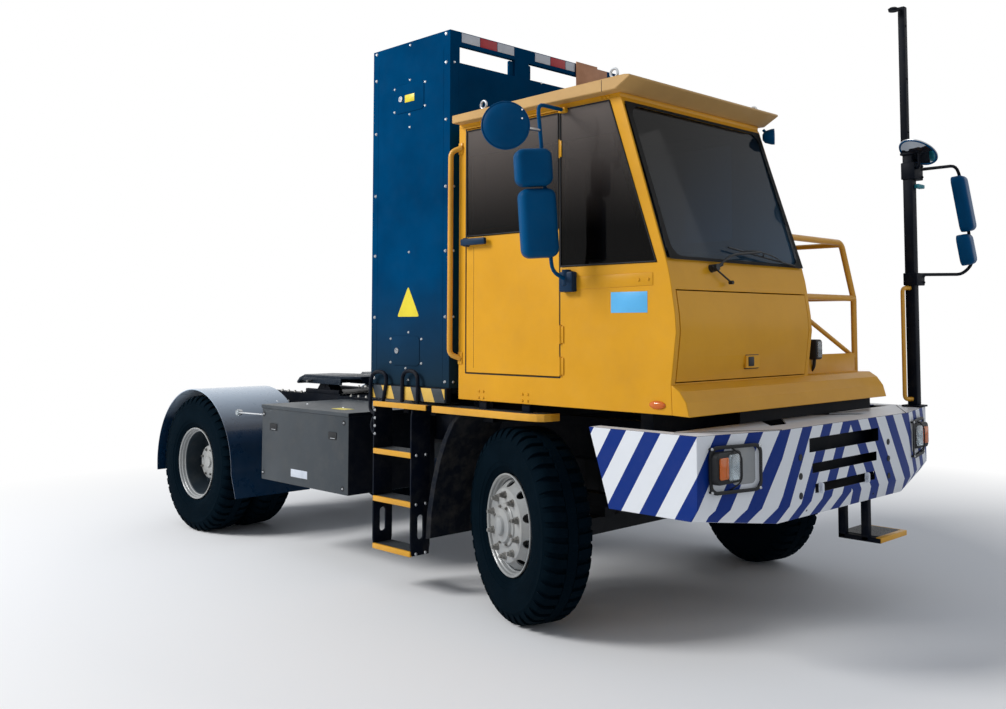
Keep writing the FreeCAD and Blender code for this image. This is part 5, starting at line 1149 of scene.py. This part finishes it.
makeBumper()
makeHeadlamps()
makeBumperDetails()
makeFrontStep()
print("stage: bumper, lamps, front step")

steps = {
    "outer": -1.25, "aft": -1.292, "fore": -0.900, "depth": 0.15,
    "treads": (0.863, 0.564, 0.265), "landing": (-1.292, -0.764, 1.162), "board": (-0.706, 0.205, 1.162),
    "plate": 0.012, "low": 0.244, "slot": ((-1.175, 0.046), (0.335, 0.485)), "bar": 0.0125, "hangers": (-0.362, -0.010),
    "boltZ": (1.108, 1.058, 1.008, 0.958), "chevron": ((-1.338, 1.2228, 1.184), (-0.624, 1.2195, 1.266)),
    # round bars: an arch over the landing's fore side, one round its aft side, a small loop below that
    "bars": (((-1.018, 1.17), (-1.016, 1.367), (-0.864, 1.367), (-0.866, 1.17)),
             ((-1.212, 1.165), (-1.162, 1.352), (-1.342, 1.352), (-1.348, 1.10), (-1.285, 1.078)),
             ((-1.285, 1.062), (-1.312, 1.055), (-1.330, 1.005), (-1.312, 0.965), (-1.285, 0.958))),
}
guard = {
    "out": 1.2, "in": 0.79, "wall": 0.006, "lip": 0.045,
    "curve": ((-0.500, 1.118), (-0.560, 1.068), (-0.624, 0.964), (-0.679, 0.841), (-0.727, 0.687), (-0.762, 0.527),
              (-0.775, 0.361)),
}


def addSlotted(shape, x, thick):
    # a ladder's side plate with one long round-ended slot: two outlines matched point for point
    outer, depth = steps["outer"], steps["depth"]
    (middle, wide), (low, high) = steps["slot"]
    slot = [(middle + u, (low + high) / 2 + v) for u, v in roundedOutline(wide, high - low, wide / 2 - 0.001, 7)]
    top, bottom, far = steps["landing"][2] - 0.03, steps["low"], outer + depth
    corners = [(far, top), (outer, top), (outer, bottom), (far, bottom)]
    edge = []
    for index, corner in enumerate(corners):
        before, after = corners[index - 1], corners[(index + 1) % 4]
        for step in range(8):
            share = (step - 3.5) / 3.5
            to, away = (after, share) if share > 0 else (before, -share)
            edge.append((corner[0] + (to[0] - corner[0]) * away * 0.4, corner[1] + (to[1] - corner[1]) * away * 0.4))
    addFrame(shape, edge, slot, thick, Matrix.Translation(at(x, 0, 0)))


def makeLadder():
    outer, far, bar = steps["outer"], steps["outer"] + steps["depth"], steps["bar"]
    aft, fore, top = steps["aft"], steps["fore"], steps["landing"][2]
    shape = bmesh.new()
    addSlotted(shape, aft, steps["plate"])
    addSlotted(shape, fore - steps["plate"], steps["plate"])
    for tread in steps["treads"]:
        addBox(shape, (aft + 0.008, outer + 0.002, tread - 0.028), (fore - 0.008, far, tread))
    addBox(shape, (aft, outer + 0.001, top - 0.03), (steps["landing"][1], outer + 0.27, top), bevel=0.002)
    for x in (aft + 0.06, fore - 0.06):
        addBox(shape, (x, outer + 0.2, 1.08), (x + 0.05, -0.36, top - 0.03))
    for route in steps["bars"]:
        addTube(shape, [(x, outer + 0.018, z) for x, z in route], bar, 0.085)
    addPiece("access_ladder_skin", shape, "stepEnamel", bevel=0.0015, replaces=["access_ladder"])
    shape = bmesh.new()
    aft, fore, top = steps["board"]
    nose = [(0.19, 0.004), (0.10, 0.012), (0.05, 0.026), (0.018, 0.052), (0.008, 0.09)]
    bend = [(fore - back, outer + out) for back, out in nose]
    outline = [(aft, outer + 0.004), *bend, (fore - 0.008, far), (aft, far)]
    addSlab(shape, [at(x, y, top - 0.030) for x, y in outline], (0, 0, 0.030), bevel=0.002)
    addPiece("step_board_skin", shape, "stepEnamel", replaces=["step_board"])
    hangers = [(addBox, (x, outer + 0.07, top), (x + 0.06, outer + 0.1, 1.213), 0.002) for x in steps["hangers"]]
    makePiece("step_board_hangers", "stepEnamel", *hangers)


def makeMudguards():
    # a bent sheet behind each front tyre, its outer edge folded back, with mud dried on it
    look = guard
    shape = bmesh.new()
    for side in (-1, 1):
        part = bmesh.new()
        points = [part.verts.new(at(x, side * look["out"], z)) for x, z in look["curve"]]
        edges = [part.edges.new(pair) for pair in zip(points, points[1:])]
        for push in ((0, side * (look["in"] - look["out"]), 0), (-look["lip"], 0, -0.010)):
            drawn = bmesh.ops.extrude_edge_only(part, edges=edges)["geom"]
            ends = [each for each in drawn if isinstance(each, bmesh.types.BMVert)]
            bmesh.ops.translate(part, vec=push, verts=ends)
        bmesh.ops.recalc_face_normals(part, faces=part.faces)
        bmesh.ops.solidify(part, geom=part.faces[:], thickness=look["wall"])
        addPart(shape, part)
        addRod(shape, (-0.628, side * (look["in"] + 0.06), 0.900), (-0.628, side * 0.425, 0.900), 0.016, 14)
    addPiece("mudguard_sheets", shape, "muddyEnamel", bevel=0.002, replaces=["front_mudguards"])


def makeSteps():
    noses, grids, bolts = bmesh.new(), bmesh.new(), bmesh.new()
    outer, depth = steps["outer"], steps["depth"]
    for top in steps["treads"]:
        aft, fore = steps["aft"], steps["fore"]
        addBox(noses, (aft + 0.006, outer - 0.003, top - 0.030), (fore - 0.006, outer + 0.016, top + 0.003), 0.003)
        addBox(grids, (aft + 0.008, outer + 0.016, top), (fore - 0.008, outer + depth, top + 0.0025))
        for x in (aft - 0.001, fore + 0.001):
            for y in (outer + 0.04, outer + 0.115):
                addDome(bolts, (x, y, top - 0.014), (1 if x > -1 else -1, 0, 0), 0.011, 0.007)
    aft, fore, top = steps["landing"]
    addBox(noses, (aft, outer - 0.003, top - 0.030), (fore, outer + 0.016, top + 0.003), bevel=0.003)
    addBox(grids, (aft + 0.002, outer + 0.016, top), (fore - 0.002, outer + 0.27, top + 0.0025))
    aft, fore, top = steps["board"]
    bend = [(0.19, 0.0), (0.10, 0.006), (0.05, 0.018), (0.015, 0.042), (0.0, 0.08), (0.0, depth)]
    outline = [(aft, outer - 0.003)] + [(fore + 0.003 - back, outer - 0.003 + out) for back, out in bend]
    outline += [(fore - 0.014 - back * 0.94, outer + 0.016 + out * 0.9) for back, out in reversed(bend)]
    outline.append((aft, outer + 0.016))
    addSlab(noses, [at(x, y, top - 0.036) for x, y in outline], (0, 0, 0.040), bevel=0.002)
    addBox(grids, (aft + 0.002, outer + 0.018, top), (fore - 0.055, outer + depth, top + 0.0025))
    for z in steps["boltZ"]:
        addDome(bolts, (steps["aft"] - 0.001, outer + 0.03, z), (-1, 0, 0), 0.010, 0.006)
        addDome(bolts, (steps["aft"] + 0.02, outer - 0.0005, z), (0, -1, 0), 0.010, 0.006)
    addPiece("step_noses", noses, "noseEnamel")
    addPiece("step_grids", grids, "expandedSteel")
    addPiece("step_bolts", bolts, "zincSteel")
    (aft, outer, low), (fore, inner, high) = steps["chevron"]
    plates = [(addBox, (aft, side * outer, low), (fore, side * inner, high), 0.001) for side in (-1, 1)]
    makePiece("chevron_plates", "chevronEnamel", *plates)


sideBox = {
    "face": 1.2,
    "latches": ((-2.5655, 0.9055), (-1.8135, 0.898)), "latch": (0.096, 0.050, 0.006, 3), "latchDeep": 0.004,
    "screws": ((-2.70, 0.992), (-1.683, 0.993), (-2.703, 0.565), (-1.692, 0.554)), "washer": (0.017, 0.002),
    "label": ((-2.327, 0.572), (-2.118, 0.626)), "lidX": (-2.60, -2.20, -1.76), "lid": (1.15, 1.088),
    "sticker": ((-2.02, 0.99, 1.062), (-1.86, 1.07, 1.0635)),
}


def makeSideBoxes():
    # recessed latches, screws on washers, a blank label and a lid sticker on each box
    look, screw = sideBox, (0.008, 0.005)
    dark, bright, white, yellow = [bmesh.new() for index in range(4)]
    washer, thick = look["washer"]
    (labelAft, labelLow), (labelFore, labelHigh) = look["label"]
    (aft, inner, low), (fore, outer, high) = look["sticker"]
    for side in (-1, 1):
        face = side * look["face"]
        for x, z in look["latches"]:
            addSlab(dark, [at(x + u, face, z + v) for u, v in roundedOutline(*look["latch"])],
                    (0, side * look["latchDeep"], 0), bevel=0.001)
            y = face + side * look["latchDeep"]
            addBox(bright, (x - 0.026, y - 0.001, z - 0.019), (x + 0.030, y + 0.001, z - 0.014), 0.001)
        for x, z in look["screws"]:
            addRod(dark, (x, face, z), (x, face + side * thick, z), washer, 16)
            addDome(bright, (x, face + side * thick, z), (0, side, 0), *screw)
        addBox(white, (labelAft, face - 0.0012, labelLow), (labelFore, face + 0.0012, labelHigh), 0.0005)
        for x in look["lidX"]:
            addDome(bright, (x, side * look["lid"][0], look["lid"][1]), (0, 0, 1), *screw)
        addBox(yellow, (aft, side * inner, low), (fore, side * outer, high))
    addPiece("box_stickers", yellow, "yellowVinyl")
    addPiece("box_latches", dark, "mouldedPlastic")
    addPiece("box_screws", bright, "zincSteel")
    addPiece("box_labels", white, "whiteTape")


fenderLamp = {
    "spot": (-3.02, 1.235), "foot": (-2.70, 1.19), "z": 0.985, "rod": 0.006,
    "case": ((-0.03, 0.0001), (-0.03, 0.02), (0.0, 0.026), (0.0, 0.0001)),
    "lens": ((0.0, 0.0245), (0.010, 0.021), (0.014, 0.0001)),
}


def makeFenderLamps():
    # a small round lamp on a thin rod out of each side box
    look, rods, lenses = fenderLamp, bmesh.new(), bmesh.new()
    (x, y), (footX, footY) = look["spot"], look["foot"]
    for side in (-1, 1):
        spot = at(x, side * y, look["z"])
        addTube(rods, [(footX, side * footY, look["z"]), spot], look["rod"], sides=8)
        place = wheelPlace(spot, Vector((0, side, 0)))
        addLathe(rods, look["case"], 20, place)
        addLathe(lenses, look["lens"], 20, place)
    addPiece("fender_lamp_rods", rods, "zincSteel")
    addPiece("fender_lamps", lenses, "clearLens")


makeLadder()
makeSteps()
makeMudguards()
makeSideBoxes()
makeFenderLamps()
print("stage: steps and side boxes")

mirrors = {
    "depth": 0.085, "round": 0.124, "arm": 0.0105, "tiltAxis": (-0.704, 0.708, 0),
    "right": {"width": 0.196, "turn": -32, "tilt": -3.5, "main": ((0.365, -1.430, 2.180), 0.362),
              "wide": ((0.365, -1.468, 2.468), 0.196), "round": ((0.345, -1.652, 2.668), (0.703, -0.703, 0.105))},
    "left": {"width": 0.200, "turn": 13, "tilt": -9.5, "main": ((1.366, 1.588, 2.455), 0.372),
             "wide": ((1.374, 1.598, 2.150), 0.205), "round": ((1.262, 1.145, 2.765), (0.172, 0.539, 0.824))},
    "pole": (1.180, 1.183, 0.064, 0.044), "poleSplit": 2.76, "poleTop": 3.73,
}


def addHousing(shells, glasses, look, name):
    # a moulded shell, crowned on the side away from its glass, leaning with its arm
    (centre, height), width, depth = look[name], look["width"], mirrors["depth"]
    place = Matrix.Translation(at(*centre)) @ Matrix.Rotation(math.radians(look["tilt"]), 4, mirrors["tiltAxis"])
    place = place @ Matrix.Rotation(math.radians(look["turn"]), 4, "Z")
    part = bmesh.new()
    bmesh.ops.create_cube(part, size=1, matrix=Matrix.Diagonal((depth, width, height, 1)))
    upright = [edge for edge in part.edges if abs((edge.verts[0].co - edge.verts[1].co).normalized().x) > 0.9]
    roundOff(part, upright, 0.045, 5)
    for side, turn, steps in ((1, 0.034, 5), (-1, 0.008, 2)):
        rim = [edge for edge in part.edges if all(side * vert.co.x > depth * 0.49 for vert in edge.verts)]
        roundOff(part, rim, turn, steps)
    addPart(shells, part, place)
    outline = roundedOutline(width - 0.022, height - 0.022, 0.036)
    addSlab(glasses, [(-depth / 2 - 0.0015, u, v) for u, v in outline], (0.003, 0, 0), place, 0.0008)


def addRoundMirror(shells, glasses, rims, centre, normal):
    # a spun dish with a rolled rim; the glass looks the other way
    place = wheelPlace(centre, Vector(normal)) if abs(normal[2]) < 0.5 else (
        Matrix.Translation(centre) @ Vector(normal).to_track_quat("Y", "Z").to_matrix().to_4x4())
    radius = mirrors["round"]
    back = [(0.018, 0.0001), (0.0165, 0.04), (0.011, 0.08), (0.001, 0.112), (-0.008, radius - 0.004), (-0.013, radius),
            (-0.018, radius - 0.003), (-0.017, radius - 0.010), (-0.012, radius - 0.012), (-0.012, 0.0001)]
    addLathe(shells, back, 48, place)
    addLathe(glasses, [(-0.0125, radius - 0.013), (-0.015, 0.06), (-0.0165, 0.0001)], 40, place)
    ring = [(-0.008 + 0.005 * math.cos(math.tau * step / 8), radius - 0.003 + 0.005 * math.sin(math.tau * step / 8))
            for step in range(8)]
    addLathe(rims, ring, 48, place, closed=True)
    for up in (0.03, 0.075):
        screw = place @ Matrix.Translation((-0.085, 0.012, up)) @ Matrix.Rotation(math.radians(-90), 4, "X")
        addCone(glasses, screw, 0.006, 0.0045, 0.004, 10)


def makeMirrors():
    shells, glasses, rims, arms = bmesh.new(), bmesh.new(), bmesh.new(), bmesh.new()
    look, thick = mirrors["right"], mirrors["arm"]
    low, high = at(0.37, -1.335, 1.93), at(0.37, -1.442, 2.805)
    addTube(arms, [(0.37, -1.205, 1.885), low, high, (0.338, -1.205, 2.812)], thick, 0.05, 16)
    makePiece("right_mirror_foot", "handleEnamel", (addBox, (0.328, -1.242, 1.826), (0.424, -1.198, 1.934), 0.008),
              (addRod, (0.37, -1.225, 1.862), (0.37, -1.225, 1.945), 0.024))
    makePiece("right_mirror_clip", "cabEnamel", (addBox, (0.313, -1.228, 2.796), (0.363, -1.198, 2.824), 0.006))
    for name in ("main", "wide"):
        addHousing(shells, glasses, look, name)
        height = look[name][0][2]
        on = low.lerp(high, (height - low.z) / (high.z - low.z))
        addRod(arms, on - Vector((0, 0, 0.03)), on + Vector((0, 0, 0.03)), 0.016, 14)
        addRod(arms, on, look[name][0], 0.012, 12)
    centre, facing = look["round"]
    on = low.lerp(high, (centre[2] - low.z) / (high.z - low.z))
    addRoundMirror(shells, glasses, shells, at(*centre), facing)
    addRod(rims, on, on.lerp(at(*centre), 0.42), 0.009, 12)
    addPiece("right_mirror_arm", arms, "mirrorEnamel")
    arms = bmesh.new()
    look = mirrors["left"]
    poleX, poleY, wide = mirrors["pole"][:3]
    half = wide / 2
    addTube(arms, [(poleX + half, poleY + half, 2.655), (1.345, 1.530, 2.705), (1.355, 1.580, 2.60),
                   (1.392, 1.650, 2.06), (1.350, 1.575, 1.985), (poleX + half, poleY + half, 1.975)], thick, 0.06, 16)
    for name in ("main", "wide"):
        addHousing(shells, glasses, look, name)
    for low, high, out in ((1.905, 1.985, 0.050), (2.590, 2.700, 0.060)):
        addBox(arms, (poleX - half - 0.008, poleY - half - 0.008, low), (poleX + half + 0.02, poleY + half + out, high),
               bevel=0.006)
        for z in (low + 0.02, high - 0.02):
            addDome(arms, (poleX + half + 0.02, poleY + half + out - 0.02, z), (1, 0, 0), 0.010, 0.008)
    centre, facing = look["round"]
    addTube(arms, [(poleX + half, poleY, 2.66), (centre[0], centre[1], 2.66), centre], 0.009, 0.02, 12)
    addRoundMirror(shells, glasses, rims, at(*centre), facing)
    addPiece("left_mirror_arm", arms, "chassisEnamel")
    addPiece("mirror_shells", shells, "mirrorEnamel", replaces=["left_mirrors", "right_mirrors"])
    addPiece("mirror_glasses", glasses, "mirrorSilver")
    addPiece("mirror_rims", rims, "zincSteel")


def makePole():
    x, y, wide, mast = mirrors["pole"]
    half, split, top = wide / 2, mirrors["poleSplit"], mirrors["poleTop"]
    shape = bmesh.new()
    addBox(shape, (x - half, y - half, 1.142), (x + half, y + half, split), bevel=0.006)
    mastX, mastY = x - 0.015, y - 0.018
    thin, cuff = mast / 2, half + 0.010
    addBox(shape, (mastX - thin, mastY - thin, split), (mastX + thin, mastY + thin, top - 0.002), 0.004)
    addBox(shape, (x - cuff, y - cuff, split - 0.012), (x + cuff, y + cuff, split + 0.004), 0.003)
    addBox(shape, (x - 0.06, y - 0.06, 1.1305), (x + 0.06, y + 0.06, 1.142), bevel=0.003)
    for z in (2.90, 3.25, 3.60):
        addDome(shape, (mastX + mast / 2, mastY, z), (1, 0, 0), 0.009, 0.006)
    # small round lamp turned down from the mast's top
    addTube(shape, [(mastX, mastY - mast / 2, 3.705), (mastX - 0.02, mastY - 0.075, 3.712)], 0.009, sides=10)
    addLathe(shape, [(-0.012, 0.0001), (-0.012, 0.03), (0.004, 0.034), (0.012, 0.022), (0.012, 0.0001)], 20,
             Matrix.Translation(at(mastX - 0.022, mastY - 0.082, 3.70)) @ Matrix.Rotation(math.radians(90), 4, "X"))
    addPiece("pole_and_mast", shape, "chassisEnamel", replaces=["mirror_pole"])
    shape = bmesh.new()
    addTube(shape, [(x, y - half, 1.888), (x - 0.02, y - half - 0.062, 1.888), (x - 0.02, y - half - 0.062, 1.18),
                    (x, y - half, 1.18)], 0.0135, 0.03, 16)
    addPiece("pole_grip", shape, "railEnamel")
    makePiece("mast_junction", "tealPlastic",
              (addBox, (x + half - 0.01, y, 2.535), (x + half + 0.030, y + half + 0.058, 2.560), 0.005))


makeMirrors()
makePole()
print("stage: mirrors and pole")

seat = {"low": (-0.455, -0.798, 1.570), "high": (0.045, -0.298, 1.680), "backTop": 2.460}


def puffed(name, low, high, pull, swell, seams, axis):
    # a foam cushion: remeshed block, blown up a little by cloth pressure, then its sewn channels pressed in
    shape = bmesh.new()
    addBox(shape, low, high, bevel=0.03, segments=3)
    piece = addPiece(name, shape, "seatCloth")
    with bpy.context.temp_override(object=piece, active_object=piece, selected_objects=[piece]):
        remesh = piece.modifiers.new("remesh", "REMESH")
        remesh.mode, remesh.voxel_size = "VOXEL", 0.012
        bpy.ops.object.modifier_apply(modifier="remesh")
        start = [vert.co.copy() for vert in piece.data.vertices]
        cloth = piece.modifiers.new("cloth", "CLOTH")
        cloth.settings.use_pressure, cloth.settings.uniform_pressure_force = True, 4
        cloth.settings.effector_weights.gravity = 0
        for step in range(1, 21):
            bpy.context.scene.frame_set(step)
        bpy.ops.object.modifier_apply(modifier="cloth")
        bpy.context.scene.frame_set(1)
    for vert, before in zip(piece.data.vertices, start):
        moved = vert.co - before
        if moved.length > swell:
            vert.co = before + moved.normalized() * swell
        for seam in seams:
            away = abs(before[axis] - seam)
            if away < 0.02:
                middle = (low + high) / 2
                vert.co += (middle - vert.co).normalized() * pull * (1 - away / 0.02)
    for face in piece.data.polygons:
        face.use_smooth = True
    round_ = piece.modifiers.new("round", "SUBSURF")
    round_.levels = round_.render_levels = 1
    return piece


def makeSeat():
    low, high = at(*seat["low"]), at(*seat["high"])
    inset = Vector((0.014, 0.014, 0.014))
    cushion = puffed("seat_cushion", low + inset, high - inset, 0.012, 0.012, (low.y + 0.12, high.y - 0.12), 1)
    backLow = Vector((low.x - 0.02, low.y, high.z + 0.02))
    backHigh = Vector((low.x + 0.11, high.y, seat["backTop"] - 0.17))
    puffed("seat_back", backLow + inset, backHigh - inset, 0.012, 0.012, (2.0, 2.16), 2)
    restLow = Vector((low.x - 0.01, low.y + 0.12, seat["backTop"] - 0.15))
    restHigh = Vector((low.x + 0.09, high.y - 0.12, seat["backTop"]))
    puffed("head_rest", restLow + inset, restHigh - inset, 0.0, 0.01, (), 2)
    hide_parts("driver_seat")
    foot = (Vector((low.x + 0.08, low.y + 0.1, 1.262)), Vector((high.x - 0.08, high.y - 0.1, low.z - 0.02)), 0.02)
    pan = (Vector((low.x, low.y + 0.02, low.z - 0.03)), Vector((high.x, high.y - 0.02, low.z + 0.012)), 0.01)
    makePiece("seat_base", "mouldedPlastic", (addBox, *foot), (addBox, *pan))


coupling = {
    "x": -3.1, "top": 1.238, "plate": 0.022, "jawLow": 1.156, "bore": 0.026, "jaw": (0.09, 0.11, 0.060),
    "outline": ((0.45, 0.36), (0.30, 0.455), (-0.20, 0.455), (-0.25, 0.44), (-0.25, 0.15), (-0.05, 0.062),
                (0.045, 0.045)),
    "throat": (0.062, 0),
    "horn": ((-0.235, 0), (-0.315, 0.026), (-0.352, 0.060), (-0.356, 0.074), (-0.335, 0.080), (-0.300, 0.056),
             (-0.235, 0.030)),
    "edge": ((-0.24, 0.02), (0.30, 0.02), (0.30, 0.070), (-0.180, 0.070), (-0.255, 0.045)),
    "ear": ((-0.06, 0.02), (0.06, 0.02), (0.05, 0.116), (-0.05, 0.116)), "ribs": (-0.16, 0.17),
    "front": ((-0.36, 0.02), (0.36, 0.02), (0.30, 0.070), (-0.30, 0.070)),
    "grooves": (-2.80, -2.92), "screws": (-3.02, -2.74, -3.30),
    "handle": ((-3.2, -0.40, 1.19), (-3.2, -0.50, 1.19), (-3.17, -0.53, 1.19)),
    "rail": ((-3.34, 0.40, 1.085), (-2.86, 0.43, 1.122)), "bolts": (-3.74, -3.64, -3.54, -3.44, -2.72, -2.62, -2.52),
}


def addJaw(shape, place):
    # the lock under the throat, bored for the pin
    (deep, wide, high), radius = coupling["jaw"], coupling["bore"]
    angles = [math.tau * (step + 0.5) / 24 for step in range(24)]
    bore = [(radius * math.cos(angle), radius * math.sin(angle)) for angle in angles]
    outline = [(u * deep / max(abs(u), abs(v)), v * wide / max(abs(u), abs(v))) for u, v in bore]
    addFrame(shape, outline, bore, high, Matrix.Translation(place) @ Matrix.Rotation(math.radians(-90), 4, "Y"))


def makeFifthWheel():
    # top plate: cut corners, two drooping horns either side of the throat, a deep rim and cross ribs under it
    look, shape, top, x = coupling, bmesh.new(), coupling["top"], coupling["x"]
    half = list(look["outline"])
    plan = [(u, -v) for u, v in half[1::-1]] + half + [look["throat"]] + [(u, -v) for u, v in half[:1:-1]]
    addSlab(shape, [at(x + u, v, top - look["plate"]) for u, v in plan], (0, 0, look["plate"]), bevel=0.004)
    for side in (-1, 1):
        for name, inner, thick, bevel in (("horn", 0.16, 0.285, 0.006), ("edge", 0.437, 0.018, 0.003),
                                          ("ear", 0.330, 0.050, 0.003)):
            corners = [at(x + u, side * inner, top - down) for u, down in look[name]]
            addSlab(shape, corners, (0, side * thick, 0), bevel=bevel)
        for rib in look["ribs"]:
            addBox(shape, (x + rib, side * 0.08, top - 0.060), (x + rib + 0.016, side * 0.44, top - 0.02))
    addSlab(shape, [at(x + 0.435, y, top - down) for y, down in look["front"]], (0.015, 0, 0), bevel=0.003)
    addJaw(shape, at(x, 0, look["jawLow"]))
    addPiece("coupling_plate", shape, "greasedSteel", "fifth_wheel", replaces=["fifth_wheel_plate"])
    # grease grooves, release handle at the side, plate screws
    grooves = [(addTube, [(x, side * 0.14, top - 0.0005), (x - 0.05, side * 0.36, top - 0.0005)], 0.003, 0.03, 8)
               for x in look["grooves"] for side in (-1, 1)]
    screws = [(addDome, (x, side * 0.35, top - 0.001), (0, 0, 1), 0.012, 0.003) for side in (-1, 1)
              for x in look["screws"]]
    makePiece("coupling_details", "wornSteel", *grooves, (addTube, look["handle"], 0.008, 0.03, 12), *screws,
              body="fifth_wheel")
    # low side rails of its base, and the bolts along the frame's top
    (aft, inner, low), (fore, outer, high) = look["rail"]
    makePiece("coupling_rails", "chassisEnamel",
              *[(addBox, (aft, side * inner, low), (fore, side * outer, high), 0.004) for side in (-1, 1)])
    makePiece("frame_top_bolts", "wornSteel",
              *[(addDome, (x, side * 0.405, 1.0795), (0, 0, 1), 0.014, 0.016, 6) for side in (-1, 1)
                for x in look["bolts"]])


platformLamp = {
    "stalk": ((0.93, 0.32, 1.37), (0.955, 0.32, 1.40), (0.96, 0.32, 1.45)), "thick": 0.010,
    "case": ((0.925, 0.282, 1.446), (0.995, 0.354, 1.565), 0.012),
    "lens": ((0.993, 0.292, 1.458), (0.999, 0.344, 1.553), 0.003),
}


def makePlatformLamp():
    look = platformLamp
    makePiece("platform_lamp", "mouldedPlastic", (addTube, look["stalk"], look["thick"], 0.02, 10),
              (addBox, *look["case"]))
    makePiece("platform_lamp_lens", "clearLens", (addBox, *look["lens"]))


# each tail lens: finish, and how far out it starts and ends
tailLenses = {"red": ("redLens", 0.65, 0.76), "amber": ("amberLens", 0.765, 0.87), "clear": ("clearLens", 0.875, 0.97)}


def makeTailLamps():
    for name, (material, inner, outer) in tailLenses.items():
        lenses = [(addBox, (-4.3445, side * inner, 0.90), (-4.331, side * outer, 0.99), 0.006) for side in (-1, 1)]
        makePiece("tail_lenses_" + name, material, *lenses)


underside = {
    "clampX": (-0.06, 0.06, -3.75, -3.63), "clampY": 0.4975, "clampHalf": 0.0525, "clampZ": (0.60, 0.64),
    "railX": (-4.1, -3.6, -3.3, -2.9, -1.3, -1.2, 0.9), "railY": 0.4305, "railZ": (0.90, 1.0),
}


def makeUnderside():
    # spring clamps' nuts and rail bolts
    look, rows = underside, []
    low, high = look["clampZ"]
    for side in (-1, 1):
        for x in look["clampX"]:
            for y in (look["clampY"] + look["clampHalf"], look["clampY"] - look["clampHalf"]):
                rows.append((addRod, (x, side * y, low), (x, side * y, high), 0.012, 6))
        for x in look["railX"]:
            rows += [(addDome, (x, side * look["railY"], z), (0, side, 0), 0.012, 0.008, 6) for z in look["railZ"]]
    makePiece("frame_bolts", "zincSteel", *rows)


tank = {
    "body": ((-0.760, -0.36, 0.590), (-0.130, 0.36, 0.826), 0.03, 3), "straps": (-0.62, -0.27),
    "gear": ((0.62, -0.60, 0.66), (0.86, -0.44, 0.90), 0.02),
    "shaft": ((0.74, -0.61, 0.72), (0.74, -0.655, 0.72), 0.045, 20),
}


def makeTank():
    # hydraulic tank slung between the rails over the front axle, with its straps, and the steering box ahead of it
    straps = [(addBox, (x - 0.02, -0.364, 0.586), (x + 0.02, 0.364, 0.828), 0.03, 3) for x in tank["straps"]]
    makePiece("hydraulic_tank", "castIron", (addBox, *tank["body"]), *straps, (addBox, *tank["gear"]),
              (addRod, *tank["shaft"]))


makeSeat()
makeTank()
makeFifthWheel()
makePlatformLamp()
makeTailLamps()
makeUnderside()
print("stage: seat, coupling and small parts")
